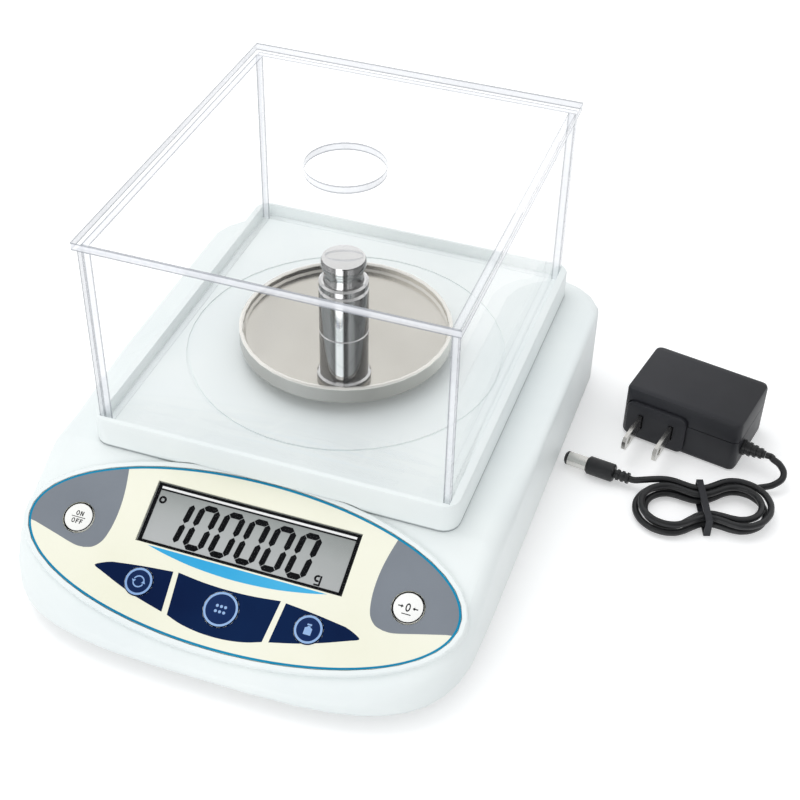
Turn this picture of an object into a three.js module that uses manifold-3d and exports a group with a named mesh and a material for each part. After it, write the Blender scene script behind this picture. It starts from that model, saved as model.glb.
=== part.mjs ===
// Laboratory balance with a clear wind shield, a round pan, a calibration weight
// and its plug-in mains adapter.
//
// Millimetres. +Z is up, the control panel faces -Y, and +X is to the user's right.
// The origin lies on the table, in the middle of the housing's footprint.

import * as THREE from 'three';
import { mergeVertices } from 'three/addons/utils/BufferGeometryUtils.js';
import Module from 'manifold-3d';

const wasm = await Module();
wasm.setup();

// General fits

const gap = 0.3;
const overrun = 5;
const weldDistance = 1e-4;

// Housing

const bodyWidth = 167;
const bodyDepth = 224.5;
const bodyTopZ = 40.3;
const noseLength = 56.5;
const noseRoundness = 3.5;
const rearCornerRadius = 25;
const housingWall = 2.4;
const footClearance = 5;
const baseFloor = 2.2;
const baseEdge = 1.2;
const baseInset = 0.8;
const lipHeight = 4.8;
const lipWall = 1.8;
const sideShoulder = 2.5;
const frontShoulder = 7;
const noseShoulder = 5;
const rearShoulder = 10;
const innerShoulder = 1;
const noseLand = 0.6;
const slopeBlend = 1.5;
const slopeRun = 60.85;
const shoulderStart = 15.4;
const shoulderEnd = 53.4;
const bodyFrontY = -bodyDepth / 2;
const bodyRearY = bodyDepth / 2;
const noseCentreY = bodyFrontY + noseLength;
const crestY = bodyFrontY + slopeRun;
const shoulderStartY = crestY + shoulderStart;
const shoulderEndY = crestY + shoulderEnd;
const rearCornerY = bodyRearY - rearCornerRadius;
const baseTopZ = footClearance + baseFloor;
const housingBottomZ = baseTopZ + gap;
const ceilingZ = bodyTopZ - housingWall;

// Shield tray, a raised platform on the housing

const traySideInset = 15.8;
const trayRearInset = 12.35;
const trayHeight = 11.7;
const trayFloorRise = 6.7;
const trayFloor = 2.4;
const trayWall = 2.4;
const trayCornerRadius = 6;
const trayEdge = 1;
const trayRingRadius = 59.6;
const trayRingWidth = 1.2;
const trayRingDepth = 0.5;
const postHoleRadius = 8;
const collarWall = 4;
const collarHeight = 3;
const lugWidth = 8;
const lugThickness = 2;
const lugHook = 1;
const lugHookHeight = 1.3;
const lugInsetX = 17.7;
const lugInsetY = 15.65;
const trayWidth = bodyWidth - 2 * traySideInset;
const trayDepth = bodyDepth - slopeRun - trayRearInset;
const trayCentreY = crestY + trayDepth / 2;
const trayFloorZ = bodyTopZ + trayFloorRise;

// Wind shield

const shieldInsetX = 3.2;
const shieldInsetY = 2.15;
const shieldWidth = trayWidth - 2 * shieldInsetX;
const shieldDepth = trayDepth - 2 * shieldInsetY;
const shieldWallHeight = 75.1;
const plateThickness = 3;
const glueLine = 0.1;
const lidOverhang = 1.3;
const lidHoleRadius = 14.65;
const lidHoleX = -0.8;
const lidHoleOffsetY = 2.1;

// Pan, its support and the load cell

const panRadius = 40;
const panFloorZ = 55.6;
const panRim = 3.2;
const panSkirt = 6.5;
const panSheet = 1;
const panRimWidth = 1.6;
const panRimRound = 0.5;
const panDishRound = 0.8;
const hubWall = 2.2;
const hubHeight = 3.8;
const postRadius = 5;
const bracketWidth = 24;
const bracketThickness = 3;
const bracketReach = 12;
const loadCellLength = 75;
const loadCellWidth = 15;
const loadCellHeight = 14;
const loadCellHole = 4.6;
const loadCellHoleOffset = 11;
const loadCellSlot = 3;
const pedestalHeight = 5.8;
const pedestalLength = 20;
const pedestalWidth = 20;
const cellScrewInset = 6;
const cellScrewSpacing = 12;
const cellScrewRadius = 2;
const cellScrewHeadRadius = 3.5;
const cellScrewHeadHeight = 2.5;
const cellScrewGrip = 5;
const bracketScrewGrip = 10;
const stopPlay = 0.5;
const stopHeadHeight = 1.6;
const stopScrewInset = 4;
const stopBossWall = 2.2;
const panUndersideZ = panFloorZ - panSheet;
const loadCellZ = baseTopZ + pedestalHeight;
const loadCellTopZ = loadCellZ + loadCellHeight;
const loadCellFrontY = trayCentreY - loadCellLength / 2;
const loadCellRearY = trayCentreY + loadCellLength / 2;
const bracketZ = loadCellTopZ + gap;

// Control panel, in the slope's own frame: x across, y up the slope, z out of it

const panelTilt = THREE.MathUtils.degToRad(26.4);
const panelInset = 4.9;
const panelHalfHeight = 30.4;
const panelCentreV = -29.5;
const panelLevel = 1.34;
const panelThickness = 0.7;
const bezelMargin = 1.8;
const bezelFlare = 0.8;
const bezelRise = 0.3;
const bezelEdge = 0.4;
const bezelRoot = 2;
const windowWidthShare = 0.4503;
const windowHeight = 22.1;
const windowV = -19.4;
const lcdMargin = 1.9;
const lcdFit = 0.5;
const boardThickness = 1.6;
const displayBoardTop = -7.2;
const displayBoardInset = 12.6;
const displayBoardFrontV = -50.5;
const displayBoardRearV = -6;
const displayBoardCut = 20;
const keyFit = 0.35;
const keyRise = 0.4;
const keyEdge = 0.5;
const keyFlange = 1.3;
const keyFlangeThickness = 1;
const keyStemRadius = 1.5;
const keyStemLength = 0.2;
const keyTravel = 0.5;
const keyPlay = 0.1;
const switchSize = 6;
const switchBodyHeight = 1.5;
const switchPlungerRadius = 1.7;
const panelScrewShare = 0.6616;
const panelScrewV = -12;
const panelPostShare = 0.2036;
const panelPostV = -46.5;
const panelBossRadius = 3.2;
const panelHalfWidth = bodyWidth / 2 - panelInset;
const windowWidth = bodyWidth * windowWidthShare;
const displayBoardHalfWidth = panelHalfWidth - displayBoardInset;
const panelScrewX = panelHalfWidth * panelScrewShare;
const panelPostX = panelHalfWidth * panelPostShare;
const displayBoardBottom = displayBoardTop - boardThickness;
const keyFlangeTop = -housingWall - gap;
const keyFlangeBottom = keyFlangeTop - keyFlangeThickness;
const keyStemBottom = keyFlangeBottom - keyStemLength;

const powerKeyRadius = 5.45;
const powerKeyShare = 0.7697;
const powerKeyV = -28.4;
const sideKeyRadius = 4.85;
const sideKeyShare = 0.3931;
const sideKeyV = -44.4;
const middleKeyRadius = 6;
const middleKeyV = -45.9;
const powerKeyX = panelHalfWidth * powerKeyShare;
const sideKeyX = panelHalfWidth * sideKeyShare;

// Case screws and levelling feet

const caseScrewInset = 9.5;
const caseScrewFrontInset = 54.25;
const caseScrewRearInset = 52.25;
const caseScrewRadius = 1.5;
const caseScrewLength = 16;
const caseScrewHeadRadius = 3.4;
const caseScrewHeadHeight = 2.2;
const caseScrewSink = 0.5;
const caseBossRadius = 5.5;
const caseBossHeight = 5;
const caseColumnRadius = 4;
const footFrontInsetX = 23.5;
const footFrontInsetY = 30.25;
const footRearInsetX = 15.5;
const footRearInsetY = 17.25;
const footRadius = 10;
const footHeight = 3.8;
const footEdge = 0.8;
const footLobes = 10;
const footLobeSteps = 3;
const footLobeDepth = 0.5;
const footCollarRadius = 5;
const footStudRadius = 3;
const footBossWall = 2.7;
const footBossHeight = 4.8;
const footStudProud = 0.6;
const footBossTopZ = baseTopZ + footBossHeight;
const caseScrewX = bodyWidth / 2 - caseScrewInset;
const caseScrewFrontY = bodyFrontY + caseScrewFrontInset;
const caseScrewRearY = bodyRearY - caseScrewRearInset;
const footFrontX = bodyWidth / 2 - footFrontInsetX;
const footFrontY = bodyFrontY + footFrontInsetY;
const footRearX = bodyWidth / 2 - footRearInsetX;
const footRearY = bodyRearY - footRearInsetY;

// Main board, its socket and the inner leads

const mainBoardWidthShare = 0.2395;
const mainBoardPlaceShare = -0.2275;
const mainBoardDepth = 64;
const mainBoardRearInset = 5.25;
const mainBoardStand = 4.8;
const mainBoardInset = 5;
const boardBossRadius = 3.2;
const boardScrewRadius = 1.1;
const boardScrewHeadRadius = 2.2;
const boardScrewHeadHeight = 1.4;
const boardScrewGrip = 3.2;
const jackOffset = -7;
const jackWidth = 9;
const jackLength = 14;
const jackHeight = 11;
const jackBoreRadius = 3.1;
const jackBoreDepth = 9.5;
const jackPinRadius = 1;
const jackRecess = 0.8;
const jackBoreRise = 5.8;
const jackHoleFit = 0.4;
const chipSize = 10;
const chipHeight = 1.8;
const capacitorRadius = 4;
const capacitorHeight = 9;
const headerLength = 12;
const headerWidth = 5;
const headerHeight = 3.2;
const cellLeadRadius = 1.3;
const headerInset = 9;
const ribbonWidth = 11;
const ribbonThickness = 0.8;
const ribbonOffset = 2;
const ribbonV = -12;
const ribbonPlugDepth = 4.4;
const ribbonPlugHeight = 4;
const ribbonRun = 18;
const ribbonSteps = 28;
const mainBoardWidth = bodyWidth * mainBoardWidthShare;
const mainBoardX = bodyWidth * mainBoardPlaceShare;
const mainBoardY = bodyRearY - mainBoardRearInset - mainBoardDepth / 2;
const headerY = mainBoardY - mainBoardDepth / 2 + headerInset;
const jackX = mainBoardX + jackOffset;
const ribbonX = mainBoardX + ribbonOffset;
const mainBoardZ = baseTopZ + mainBoardStand;
const mainBoardTopZ = mainBoardZ + boardThickness;

// Calibration weight

const weightX = 9.2;
const weightRimInset = 13.9;
const weightBaseRadius = 9.8;
const weightBodyRadius = 8.8;
const weightShoulderRadius = 8.7;
const weightNeckRadius = 6.7;
const weightNeckHollow = 0.5;
const weightKnobRadius = 7.85;
const weightKnobRound = 1.1;
const weightBaseHeight = 2.8;
const weightBodyHeight = 36.2;
const weightShoulderHeight = 3.3;
const weightNeckHeight = 4.4;
const weightKnobHeight = 4.6;
const weightGroove = 0.35;
const weightRound = 0.7;
const weightOffsetY = weightRimInset - panRadius;

// Mains adapter and its lead

const adapterX = 128;
const adapterY = 79;
const adapterTurn = THREE.MathUtils.degToRad(-11);
const adapterLength = 48;
const adapterDepth = 32;
const adapterHeight = 23;
const adapterSeamZ = 14;
const adapterCorner = 3;
const adapterEdge = 1.4;
const adapterWall = 2;
const blockLength = 25;
const blockHeight = 17;
const blockOffset = -9.5;
const blockRise = 1.5;
const bladeSpacing = 12.7;
const bladeThickness = 1.5;
const bladeWidth = 6.3;
const bladeLength = 16.5;
const bladeRoot = 4;
const bladeTip = 1.4;
const bladeHoleRadius = 1.5;
const bladeHoleInset = 4;
const bladeZ = 9.3;
const reliefLength = 9;
const reliefRadius = 3.2;
const reliefTipRadius = 2.2;
const reliefRibs = 4;
const reliefRibDepth = 0.6;
const reliefOffset = -8.5;
const reliefZ = 8;
const cordRadius = 1.3;
const cordSides = 8;

const hankX = 141.5;
const hankY = 31;
const hankTurn = THREE.MathUtils.degToRad(20);
const hankHalfRun = 13;
const hankFoldRadius = 8;
const hankPitch = 3.5;
const hankLayer = 3.3;
const hankDraw = 4.5;
const hankLoops = 3;
const hankRunSteps = 5;
const hankFoldSteps = 7;
const hankSides = 6;
const hankCompareDistance = 10.4;
const tieWidth = 2.6;
const tieThickness = 0.6;
const hankZ = tieThickness + gap + cordRadius;

const plugX = 111.6;
const plugY = 36.8;
const plugTurn = THREE.MathUtils.degToRad(172);
const plugSleeveLength = 11;
const plugSleeveRadius = 3.6;
const plugNeckLength = 6;
const plugNeckRadius = 2.2;
const plugRings = 3;
const plugRingDepth = 0.5;
const plugBarrelLength = 9;
const plugBarrelRadius = 2.75;
const plugBoreRadius = 1.25;
const plugBoreDepth = 7;

// The free stretches of the lead, from the relief to the hank and from the hank to the plug

const cordLeadPoints = [
  [162, 63.2, 8],
  [165.5, 61.4, 7],
  [167.6, 57.6, 5.4],
  [165.2, 53.6, 3.8],
  [160.6, 51.3, 2.6],
  [156.6, 49.8, 2.2],
];
const cordTailPoints = [
  [117, 37.1, 4.75],
];

// Materials

function plastic(colour, roughness) {
  return () => new THREE.MeshStandardMaterial({ color: colour, roughness, metalness: 0 });
}

function metal(colour, roughness) {
  return () => new THREE.MeshStandardMaterial({ color: colour, roughness, metalness: 1 });
}

function clear(colour, roughness, opacity) {
  return () => new THREE.MeshStandardMaterial({
    color: colour, roughness, metalness: 0, transparent: true, opacity,
  });
}

const whiteHousing = plastic(0xeef2f3, 0.4);
const acrylic = clear(0xf4fbfc, 0.05, 0.2);
const panelFilm = plastic(0xf3f3e2, 0.45);
const whiteKey = plastic(0xf7f7f4, 0.4);
const navyKey = plastic(0x16294f, 0.4);
const lcdGrey = plastic(0x9da3a2, 0.3);
const circuitGreen = plastic(0x1f5a3a, 0.5);
const blackPlastic = plastic(0x1c1d20, 0.5);
const rubberBlack = plastic(0x161719, 0.8);
const panSteel = metal(0xc9c7c2, 0.25);
const chrome = metal(0xd8dadb, 0.12);
const zincSteel = metal(0xb4b7b8, 0.35);
const castAluminium = metal(0xbfc3c6, 0.4);
const nickel = metal(0xc8c4b6, 0.25);
const greyCable = plastic(0x8b9094, 0.6);

// Solids from three.js geometry

function withoutSlivers(geometry) {
  const index = geometry.index.array;
  const kept = [];
  for (let i = 0; i < index.length; i += 3) {
    const [a, b, c] = [index[i], index[i + 1], index[i + 2]];
    if (a !== b && b !== c && c !== a) kept.push(a, b, c);
  }
  geometry.setIndex(kept);
  return geometry;
}

function signedVolume(geometry) {
  const index = geometry.index.array;
  const position = geometry.attributes.position;
  const [a, b, c] = [new THREE.Vector3(), new THREE.Vector3(), new THREE.Vector3()];
  let sum = 0;
  for (let i = 0; i < index.length; i += 3) {
    a.fromBufferAttribute(position, index[i]);
    b.fromBufferAttribute(position, index[i + 1]);
    c.fromBufferAttribute(position, index[i + 2]);
    sum += a.dot(b.cross(c));
  }
  return sum;
}

function solid(geometry) {
  const bare = geometry.clone();
  for (const name of Object.keys(bare.attributes)) {
    if (name !== 'position') bare.deleteAttribute(name);
  }
  const merged = withoutSlivers(mergeVertices(bare, weldDistance));
  if (signedVolume(merged) < 0) merged.setIndex([...merged.index.array].reverse());
  return new wasm.Manifold(new wasm.Mesh({
    numProp: 3,
    vertProperties: new Float32Array(merged.attributes.position.array),
    triVerts: new Uint32Array(merged.index.array),
  }));
}

function geometryOf(body) {
  const mesh = body.getMesh();
  const geometry = new THREE.BufferGeometry();
  geometry.setAttribute('position', new THREE.BufferAttribute(new Float32Array(mesh.vertProperties), 3));
  geometry.setIndex([...mesh.triVerts]);
  geometry.computeVertexNormals();
  return geometry;
}

function join(geometries) {
  return geometries.map(solid).reduce((whole, body) => whole.add(body));
}

function cut(body, geometries) {
  return geometries.map(solid).reduce((rest, tool) => rest.subtract(tool), body);
}

// Plain shapes standing on a level z

function block(width, depth, height, x, y, z) {
  return new THREE.BoxGeometry(width, depth, height).translate(x, y, z + height / 2);
}

function rod(radius, z0, z1, x = 0, y = 0, sides = 12) {
  return new THREE.CylinderGeometry(radius, radius, z1 - z0, sides)
    .rotateX(Math.PI / 2)
    .translate(x, y, (z0 + z1) / 2);
}

function prism(points, z0, z1) {
  const shape = new THREE.Shape(points.map(([x, y]) => new THREE.Vector2(x, y)));
  return new THREE.ExtrudeGeometry(shape, { depth: z1 - z0, bevelEnabled: false }).translate(0, 0, z0);
}

function revolve(profile, sides = 48) {
  const points = profile.map(([r, z]) => new THREE.Vector2(r, z));
  return new THREE.LatheGeometry(points, sides).rotateX(Math.PI / 2);
}

// A loft joins loops of equal count, from the lowest to the highest. The second half
// of a loop mirrors the first across x = 0, and each end cap is a row of strips
// between mirrored points.

function mirrored(right) {
  const left = right.map((p) => new THREE.Vector3(-p.x, p.y, p.z)).reverse();
  return [...right, ...left];
}

function loft(loops) {
  const count = loops[0].length;
  const index = [];
  for (let level = 0; level + 1 < loops.length; level += 1) {
    for (let i = 0; i < count; i += 1) {
      const a = level * count + i;
      const b = level * count + (i + 1) % count;
      index.push(a, b, b + count, a, b + count, a + count);
    }
  }
  const top = (loops.length - 1) * count;
  for (let i = 0; i + 1 < count / 2; i += 1) {
    const j = count - 1 - i;
    index.push(top + i, top + i + 1, top + j - 1, top + i, top + j - 1, top + j);
    index.push(i, j - 1, i + 1, i, j, j - 1);
  }
  const geometry = new THREE.BufferGeometry();
  const position = loops.flat().flatMap((p) => [p.x, p.y, p.z]);
  geometry.setAttribute('position', new THREE.Float32BufferAttribute(position, 3));
  geometry.setIndex(index);
  return geometry;
}

// A quarter round between a side and a flat: [inset, distance from the flat]

const edgeSteps = 2;

function quarterRound(radius, steps = edgeSteps) {
  return Array.from({ length: steps + 1 }, (_, i) => {
    const angle = i / steps * Math.PI / 2;
    return [radius * (1 - Math.cos(angle)), radius * (1 - Math.sin(angle))];
  });
}

// A rounded rectangle standing on z = 0, with its top and bottom edges rounded

const cornerSteps = 5;

function roundedLoop(width, depth, radius, inset, z) {
  const right = [];
  for (const rear of [-1, 1]) {
    for (let i = 0; i <= cornerSteps; i += 1) {
      const angle = (i / cornerSteps + (rear - 1) / 2) * Math.PI / 2;
      const x = width / 2 - radius + (radius - inset) * Math.cos(angle);
      const y = rear * (depth / 2 - radius) + (radius - inset) * Math.sin(angle);
      right.push(new THREE.Vector3(x, y, z));
    }
  }
  return mirrored(right);
}

function slab(width, depth, height, radius, topEdge, bottomEdge = 0) {
  const top = quarterRound(topEdge).map(([inset, fall]) => [inset, height - fall]);
  const bottom = quarterRound(bottomEdge).reverse();
  const levels = bottomEdge > 0 ? [...bottom, ...top] : [[0, 0], ...top];
  return loft(levels.map(([inset, z]) => roundedLoop(width, depth, radius, inset, z)));
}

// The housing's outline in plan: a blunt superellipse nose, straight sides and
// round rear corners. Returns the right side from front to rear.

const noseSteps = 10;
const noseStartShare = 0.035;
const sideShares = [0.1, 0.24, 0.38];

function rightSide(insetAt) {
  const side = [];
  const inset = () => insetAt(side.length);
  const power = 2 / noseRoundness;
  for (let i = 0; i <= noseSteps; i += 1) {
    const angle = THREE.MathUtils.lerp(noseStartShare, 1, i / noseSteps) * Math.PI / 2;
    const x = (bodyWidth / 2 - inset()) * Math.sin(angle) ** power;
    const y = noseCentreY - (noseLength - inset()) * Math.cos(angle) ** power;
    side.push([x, y]);
  }
  const sideStartY = crestY + slopeBlend;
  const alongSide = [
    crestY - slopeBlend, crestY, sideStartY,
    ...sideShares.map((share) => THREE.MathUtils.lerp(sideStartY, rearCornerY, share)),
  ];
  for (const y of alongSide) side.push([bodyWidth / 2 - inset(), y]);
  for (let i = 0; i <= cornerSteps; i += 1) {
    const angle = i / cornerSteps * Math.PI / 2;
    const radius = rearCornerRadius - inset();
    const x = bodyWidth / 2 - rearCornerRadius + radius * Math.cos(angle);
    side.push([x, rearCornerY + radius * Math.sin(angle)]);
  }
  return side;
}

function outline(insetAt, levelAt) {
  return mirrored(rightSide(insetAt).map(([x, y], i) => new THREE.Vector3(x, y, levelAt(y, i))));
}

// The top is level behind the crest and falls at the panel's tilt ahead of it, with
// a short parabola between the two. A drop gives the same surface deeper inside.

function topLevel(y, drop) {
  const slope = Math.tan(panelTilt);
  const ahead = crestY + drop * Math.tan(panelTilt / 2) - y;
  if (ahead <= -slopeBlend) return bodyTopZ - drop;
  if (ahead < slopeBlend) return bodyTopZ - drop - slope * (ahead + slopeBlend) ** 2 / (4 * slopeBlend);
  return bodyTopZ - drop - slope * ahead;
}

// The shoulder between side and top is crisp along the sides, softer at the nose
// and softest at the rear.

function shoulderRadius(y) {
  const between = (a, b, start, end) => THREE.MathUtils.lerp(a, b, (y - start) / (end - start));
  if (y > rearCornerY) return between(sideShoulder, rearShoulder, rearCornerY, bodyRearY);
  if (y > shoulderEndY) return sideShoulder;
  if (y > shoulderStartY) return between(frontShoulder, sideShoulder, shoulderStartY, shoulderEndY);
  return between(noseShoulder, frontShoulder, bodyFrontY, shoulderStartY);
}

function bodyLoft(inset, bottomZ, drop, steps) {
  const rims = rightSide(() => inset).map(([, y]) => {
    const radius = Math.max(shoulderRadius(y) - inset, innerShoulder);
    return [radius, Math.min(radius, topLevel(y, drop) - bottomZ - noseLand)];
  });
  const loops = [outline(() => inset, () => bottomZ)];
  for (const [insetShare, fallShare] of quarterRound(1, steps)) {
    const insetAt = (i) => inset + rims[i][0] * insetShare;
    const levelAt = (y, i) => topLevel(y, drop) - rims[i][1] * fallShare;
    loops.push(outline(insetAt, levelAt));
  }
  return loft(loops);
}

// Places that repeat

const caseScrewPlaces = [
  [-caseScrewX, caseScrewFrontY], [caseScrewX, caseScrewFrontY],
  [-caseScrewX, caseScrewRearY], [caseScrewX, caseScrewRearY],
];

const footPlaces = [
  [-footFrontX, footFrontY], [footFrontX, footFrontY],
  [-footRearX, footRearY], [footRearX, footRearY],
];

const cornerShares = [[-1, -1], [1, -1], [-1, 1], [1, 1]];

const lugPlaces = cornerShares.map(([side, end]) => ({
  side,
  x: side * (trayWidth / 2 - lugInsetX),
  y: trayCentreY + end * (trayDepth / 2 - lugInsetY),
}));

const keys = [
  { name: 'power_key', radius: powerKeyRadius, x: -powerKeyX, v: powerKeyV, material: whiteKey },
  { name: 'zero_key', radius: powerKeyRadius, x: powerKeyX, v: powerKeyV, material: whiteKey },
  { name: 'unit_key', radius: sideKeyRadius, x: -sideKeyX, v: sideKeyV, material: navyKey },
  { name: 'count_key', radius: middleKeyRadius, x: 0, v: middleKeyV, material: navyKey },
  { name: 'calibrate_key', radius: sideKeyRadius, x: sideKeyX, v: sideKeyV, material: navyKey },
];

const mainBoardCorners = cornerShares.map(([across, along]) => [
  mainBoardX + across * (mainBoardWidth / 2 - mainBoardInset),
  mainBoardY + along * (mainBoardDepth / 2 - mainBoardInset),
]);

const mainBoardScrewPlaces = mainBoardCorners.filter((corner, i) => {
  const [across, along] = cornerShares[i];
  return across === along;
});

// The panel's frame on the housing

function onHousing(geometry) {
  return geometry.rotateX(panelTilt).translate(0, crestY, bodyTopZ);
}

const ellipseSteps = 22;

function ellipseLoop(margin, w) {
  const right = Array.from({ length: ellipseSteps }, (_, i) => {
    const angle = ((i + 1 / 2) / ellipseSteps - 1 / 2) * Math.PI;
    const x = (panelHalfWidth + margin) * Math.cos(angle);
    const v = panelCentreV + (panelHalfHeight + margin) * Math.sin(angle);
    return new THREE.Vector3(x, v, w);
  });
  return mirrored(right);
}

function bezelPad(margin) {
  const topW = panelLevel + bezelRise + margin;
  return onHousing(loft([
    ellipseLoop(bezelMargin + bezelFlare + margin, -bezelRoot),
    ellipseLoop(bezelMargin + bezelFlare / 2 + margin, topW - bezelEdge),
    ellipseLoop(bezelMargin + bezelFlare / 2 - bezelEdge + margin, topW),
  ]));
}

// Housing parts

function upperHousing() {
  const outer = solid(bodyLoft(0, housingBottomZ, 0, 4));
  const cavity = solid(bodyLoft(housingWall, housingBottomZ - overrun, housingWall, 2));
  const wallMiddle = solid(bodyLoft(housingWall / 2, housingBottomZ - overrun, housingWall / 2, 1));
  const columnZ = baseTopZ + caseBossHeight + gap;
  const columns = join(caseScrewPlaces.map(([x, y]) => rod(caseColumnRadius, columnZ, bodyTopZ, x, y)));
  const postBottom = displayBoardTop + gap;
  const posts = [[panelScrewX, panelScrewV], [panelPostX, panelPostV]].flatMap(([x, v]) => [-x, x].map(
    (side) => onHousing(rod(panelBossRadius, postBottom, -housingWall / 2, side, v, 10)),
  ));
  const shell = outer.subtract(cavity)
    .add(columns.intersect(wallMiddle))
    .add(join([bezelPad(0)]))
    .add(join(posts));

  const recessFloor = panelLevel - panelThickness - gap;
  const recess = onHousing(loft([
    ellipseLoop(gap, recessFloor),
    ellipseLoop(gap, recessFloor + overrun),
  ]));
  const lcdHole = onHousing(block(
    windowWidth + 2 * (lcdMargin + lcdFit), windowHeight + 2 * (lcdMargin + lcdFit), 2 * overrun,
    0, windowV, -overrun,
  ));
  const keyHoles = keys.map(({ radius, x, v }) => onHousing(
    rod(radius + keyFit, -overrun, overrun, x, v, 16),
  ));
  const lugSlots = lugPlaces.map(({ side, x, y }) => block(
    lugThickness + lugHook + 2 * gap, lugWidth + 2 * gap, 2 * overrun,
    x + side * lugHook / 2, y, ceilingZ - overrun,
  ));
  const postHole = rod(postHoleRadius + gap, ceilingZ - overrun, bodyTopZ + overrun, 0, trayCentreY, 32);
  const jackHole = block(
    jackWidth + 2 * jackHoleFit, 2 * overrun, jackHeight + 2 * jackHoleFit,
    jackX, bodyRearY, mainBoardTopZ - jackHoleFit,
  );
  const screwBores = caseScrewPlaces.map(([x, y]) => rod(
    caseScrewRadius + gap, columnZ - overrun, footClearance + caseScrewSink + caseScrewHeadHeight
      + caseScrewLength + gap, x, y, 12,
  ));
  const panelBores = [-panelScrewX, panelScrewX].map((x) => onHousing(rod(
    boardScrewRadius + gap, postBottom - overrun, postBottom + boardScrewGrip + gap, x, panelScrewV, 8,
  )));
  return cut(shell, [
    recess, lcdHole, ...keyHoles, ...lugSlots, postHole, jackHole, ...screwBores, ...panelBores,
  ]);
}

function lowerHousing() {
  const rounds = quarterRound(baseEdge).reverse();
  const floor = loft([...rounds, [0, baseFloor]].map(([inset, rise]) => outline(
    () => baseInset + inset, () => footClearance + rise,
  )));
  const lipInset = housingWall + gap;
  const lipTop = solid(block(
    bodyWidth, bodyDepth, baseFloor / 2 + lipHeight, 0, 0, baseTopZ - baseFloor / 2,
  ));
  const lipOuter = solid(bodyLoft(lipInset, footClearance - overrun, lipInset, 1));
  const lipInner = bodyLoft(lipInset + lipWall, footClearance - overrun, 0, 1);
  const lip = cut(lipOuter.intersect(lipTop), [lipInner]);
  const bossRoot = footClearance + baseFloor / 2;
  const bosses = [
    ...caseScrewPlaces.map(([x, y]) => rod(caseBossRadius, bossRoot, baseTopZ + caseBossHeight, x, y)),
    ...footPlaces.map(([x, y]) => rod(footStudRadius + gap + footBossWall, bossRoot, footBossTopZ, x, y)),
    ...mainBoardCorners.map(([x, y]) => rod(boardBossRadius, bossRoot, mainBoardZ, x, y, 10)),
    block(
      pedestalWidth, pedestalLength, loadCellZ - bossRoot, 0, loadCellRearY - pedestalLength / 2, bossRoot,
    ),
    rod(
      cellScrewRadius + gap + stopBossWall, bossRoot, loadCellZ - stopPlay - stopHeadHeight,
      0, loadCellFrontY + stopScrewInset, 20,
    ),
  ];
  const headTop = footClearance + caseScrewSink + caseScrewHeadHeight;
  const throughTop = loadCellZ + overrun;
  const tools = [
    ...caseScrewPlaces.flatMap(([x, y]) => [
      rod(caseScrewHeadRadius + gap, footClearance - overrun, headTop, x, y),
      rod(caseScrewRadius + gap, footClearance - overrun, throughTop, x, y, 12),
    ]),
    ...footPlaces.map(([x, y]) => rod(footStudRadius + gap, footClearance - overrun, throughTop, x, y, 20)),
    ...mainBoardScrewPlaces.map(([x, y]) => rod(
      boardScrewRadius + gap, mainBoardZ - boardScrewGrip - gap, throughTop, x, y, 12,
    )),
    ...cellScrewYs().map((y) => rod(
      cellScrewRadius + gap, loadCellZ - cellScrewGrip - gap, throughTop, 0, y, 16,
    )),
    rod(cellScrewRadius + gap, bossRoot, throughTop, 0, loadCellFrontY + stopScrewInset, 16),
  ];
  return cut(join([floor]).add(lip).add(join(bosses)), tools);
}

// The load cell is a bar with two joined bores that let it bend. Its rear end is
// screwed to the pedestal, and its front end carries the bracket of the pan.

function cellScrewYs() {
  const lastY = loadCellRearY - cellScrewInset;
  return [lastY, lastY - cellScrewSpacing];
}

function bracketScrewYs() {
  const firstY = loadCellFrontY + cellScrewInset;
  return [firstY, firstY + cellScrewSpacing];
}

function loadCell() {
  const bar = join([block(loadCellWidth, loadCellLength, loadCellHeight, 0, trayCentreY, loadCellZ)]);
  const middleZ = loadCellZ + loadCellHeight / 2;
  const bores = [-loadCellHoleOffset, loadCellHoleOffset].map((offset) => (
    new THREE.CylinderGeometry(loadCellHole, loadCellHole, loadCellWidth + overrun, 24)
      .rotateZ(Math.PI / 2)
      .translate(0, trayCentreY + offset, middleZ)
  ));
  const slot = block(
    loadCellWidth + overrun, 2 * loadCellHoleOffset, loadCellSlot,
    0, trayCentreY, middleZ - loadCellSlot / 2,
  );
  const rearBores = cellScrewYs().map((y) => rod(
    cellScrewRadius + gap, loadCellZ - overrun, loadCellTopZ + overrun, 0, y, 16,
  ));
  const frontBores = bracketScrewYs().map((y) => rod(
    cellScrewRadius + gap, loadCellTopZ - bracketScrewGrip - gap, loadCellTopZ + overrun, 0, y, 16,
  ));
  return cut(bar, [...bores, slot, ...rearBores, ...frontBores]);
}

function panSupport() {
  const rearY = trayCentreY + bracketReach;
  const plate = block(
    bracketWidth, rearY - loadCellFrontY, bracketThickness, 0, (rearY + loadCellFrontY) / 2, bracketZ,
  );
  const post = rod(postRadius, bracketZ, panUndersideZ, 0, trayCentreY, 32);
  const holes = bracketScrewYs().map((y) => rod(
    cellScrewRadius + gap, bracketZ - overrun, bracketZ + bracketThickness + overrun, 0, y, 16,
  ));
  return cut(join([plate, post]), holes);
}

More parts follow.
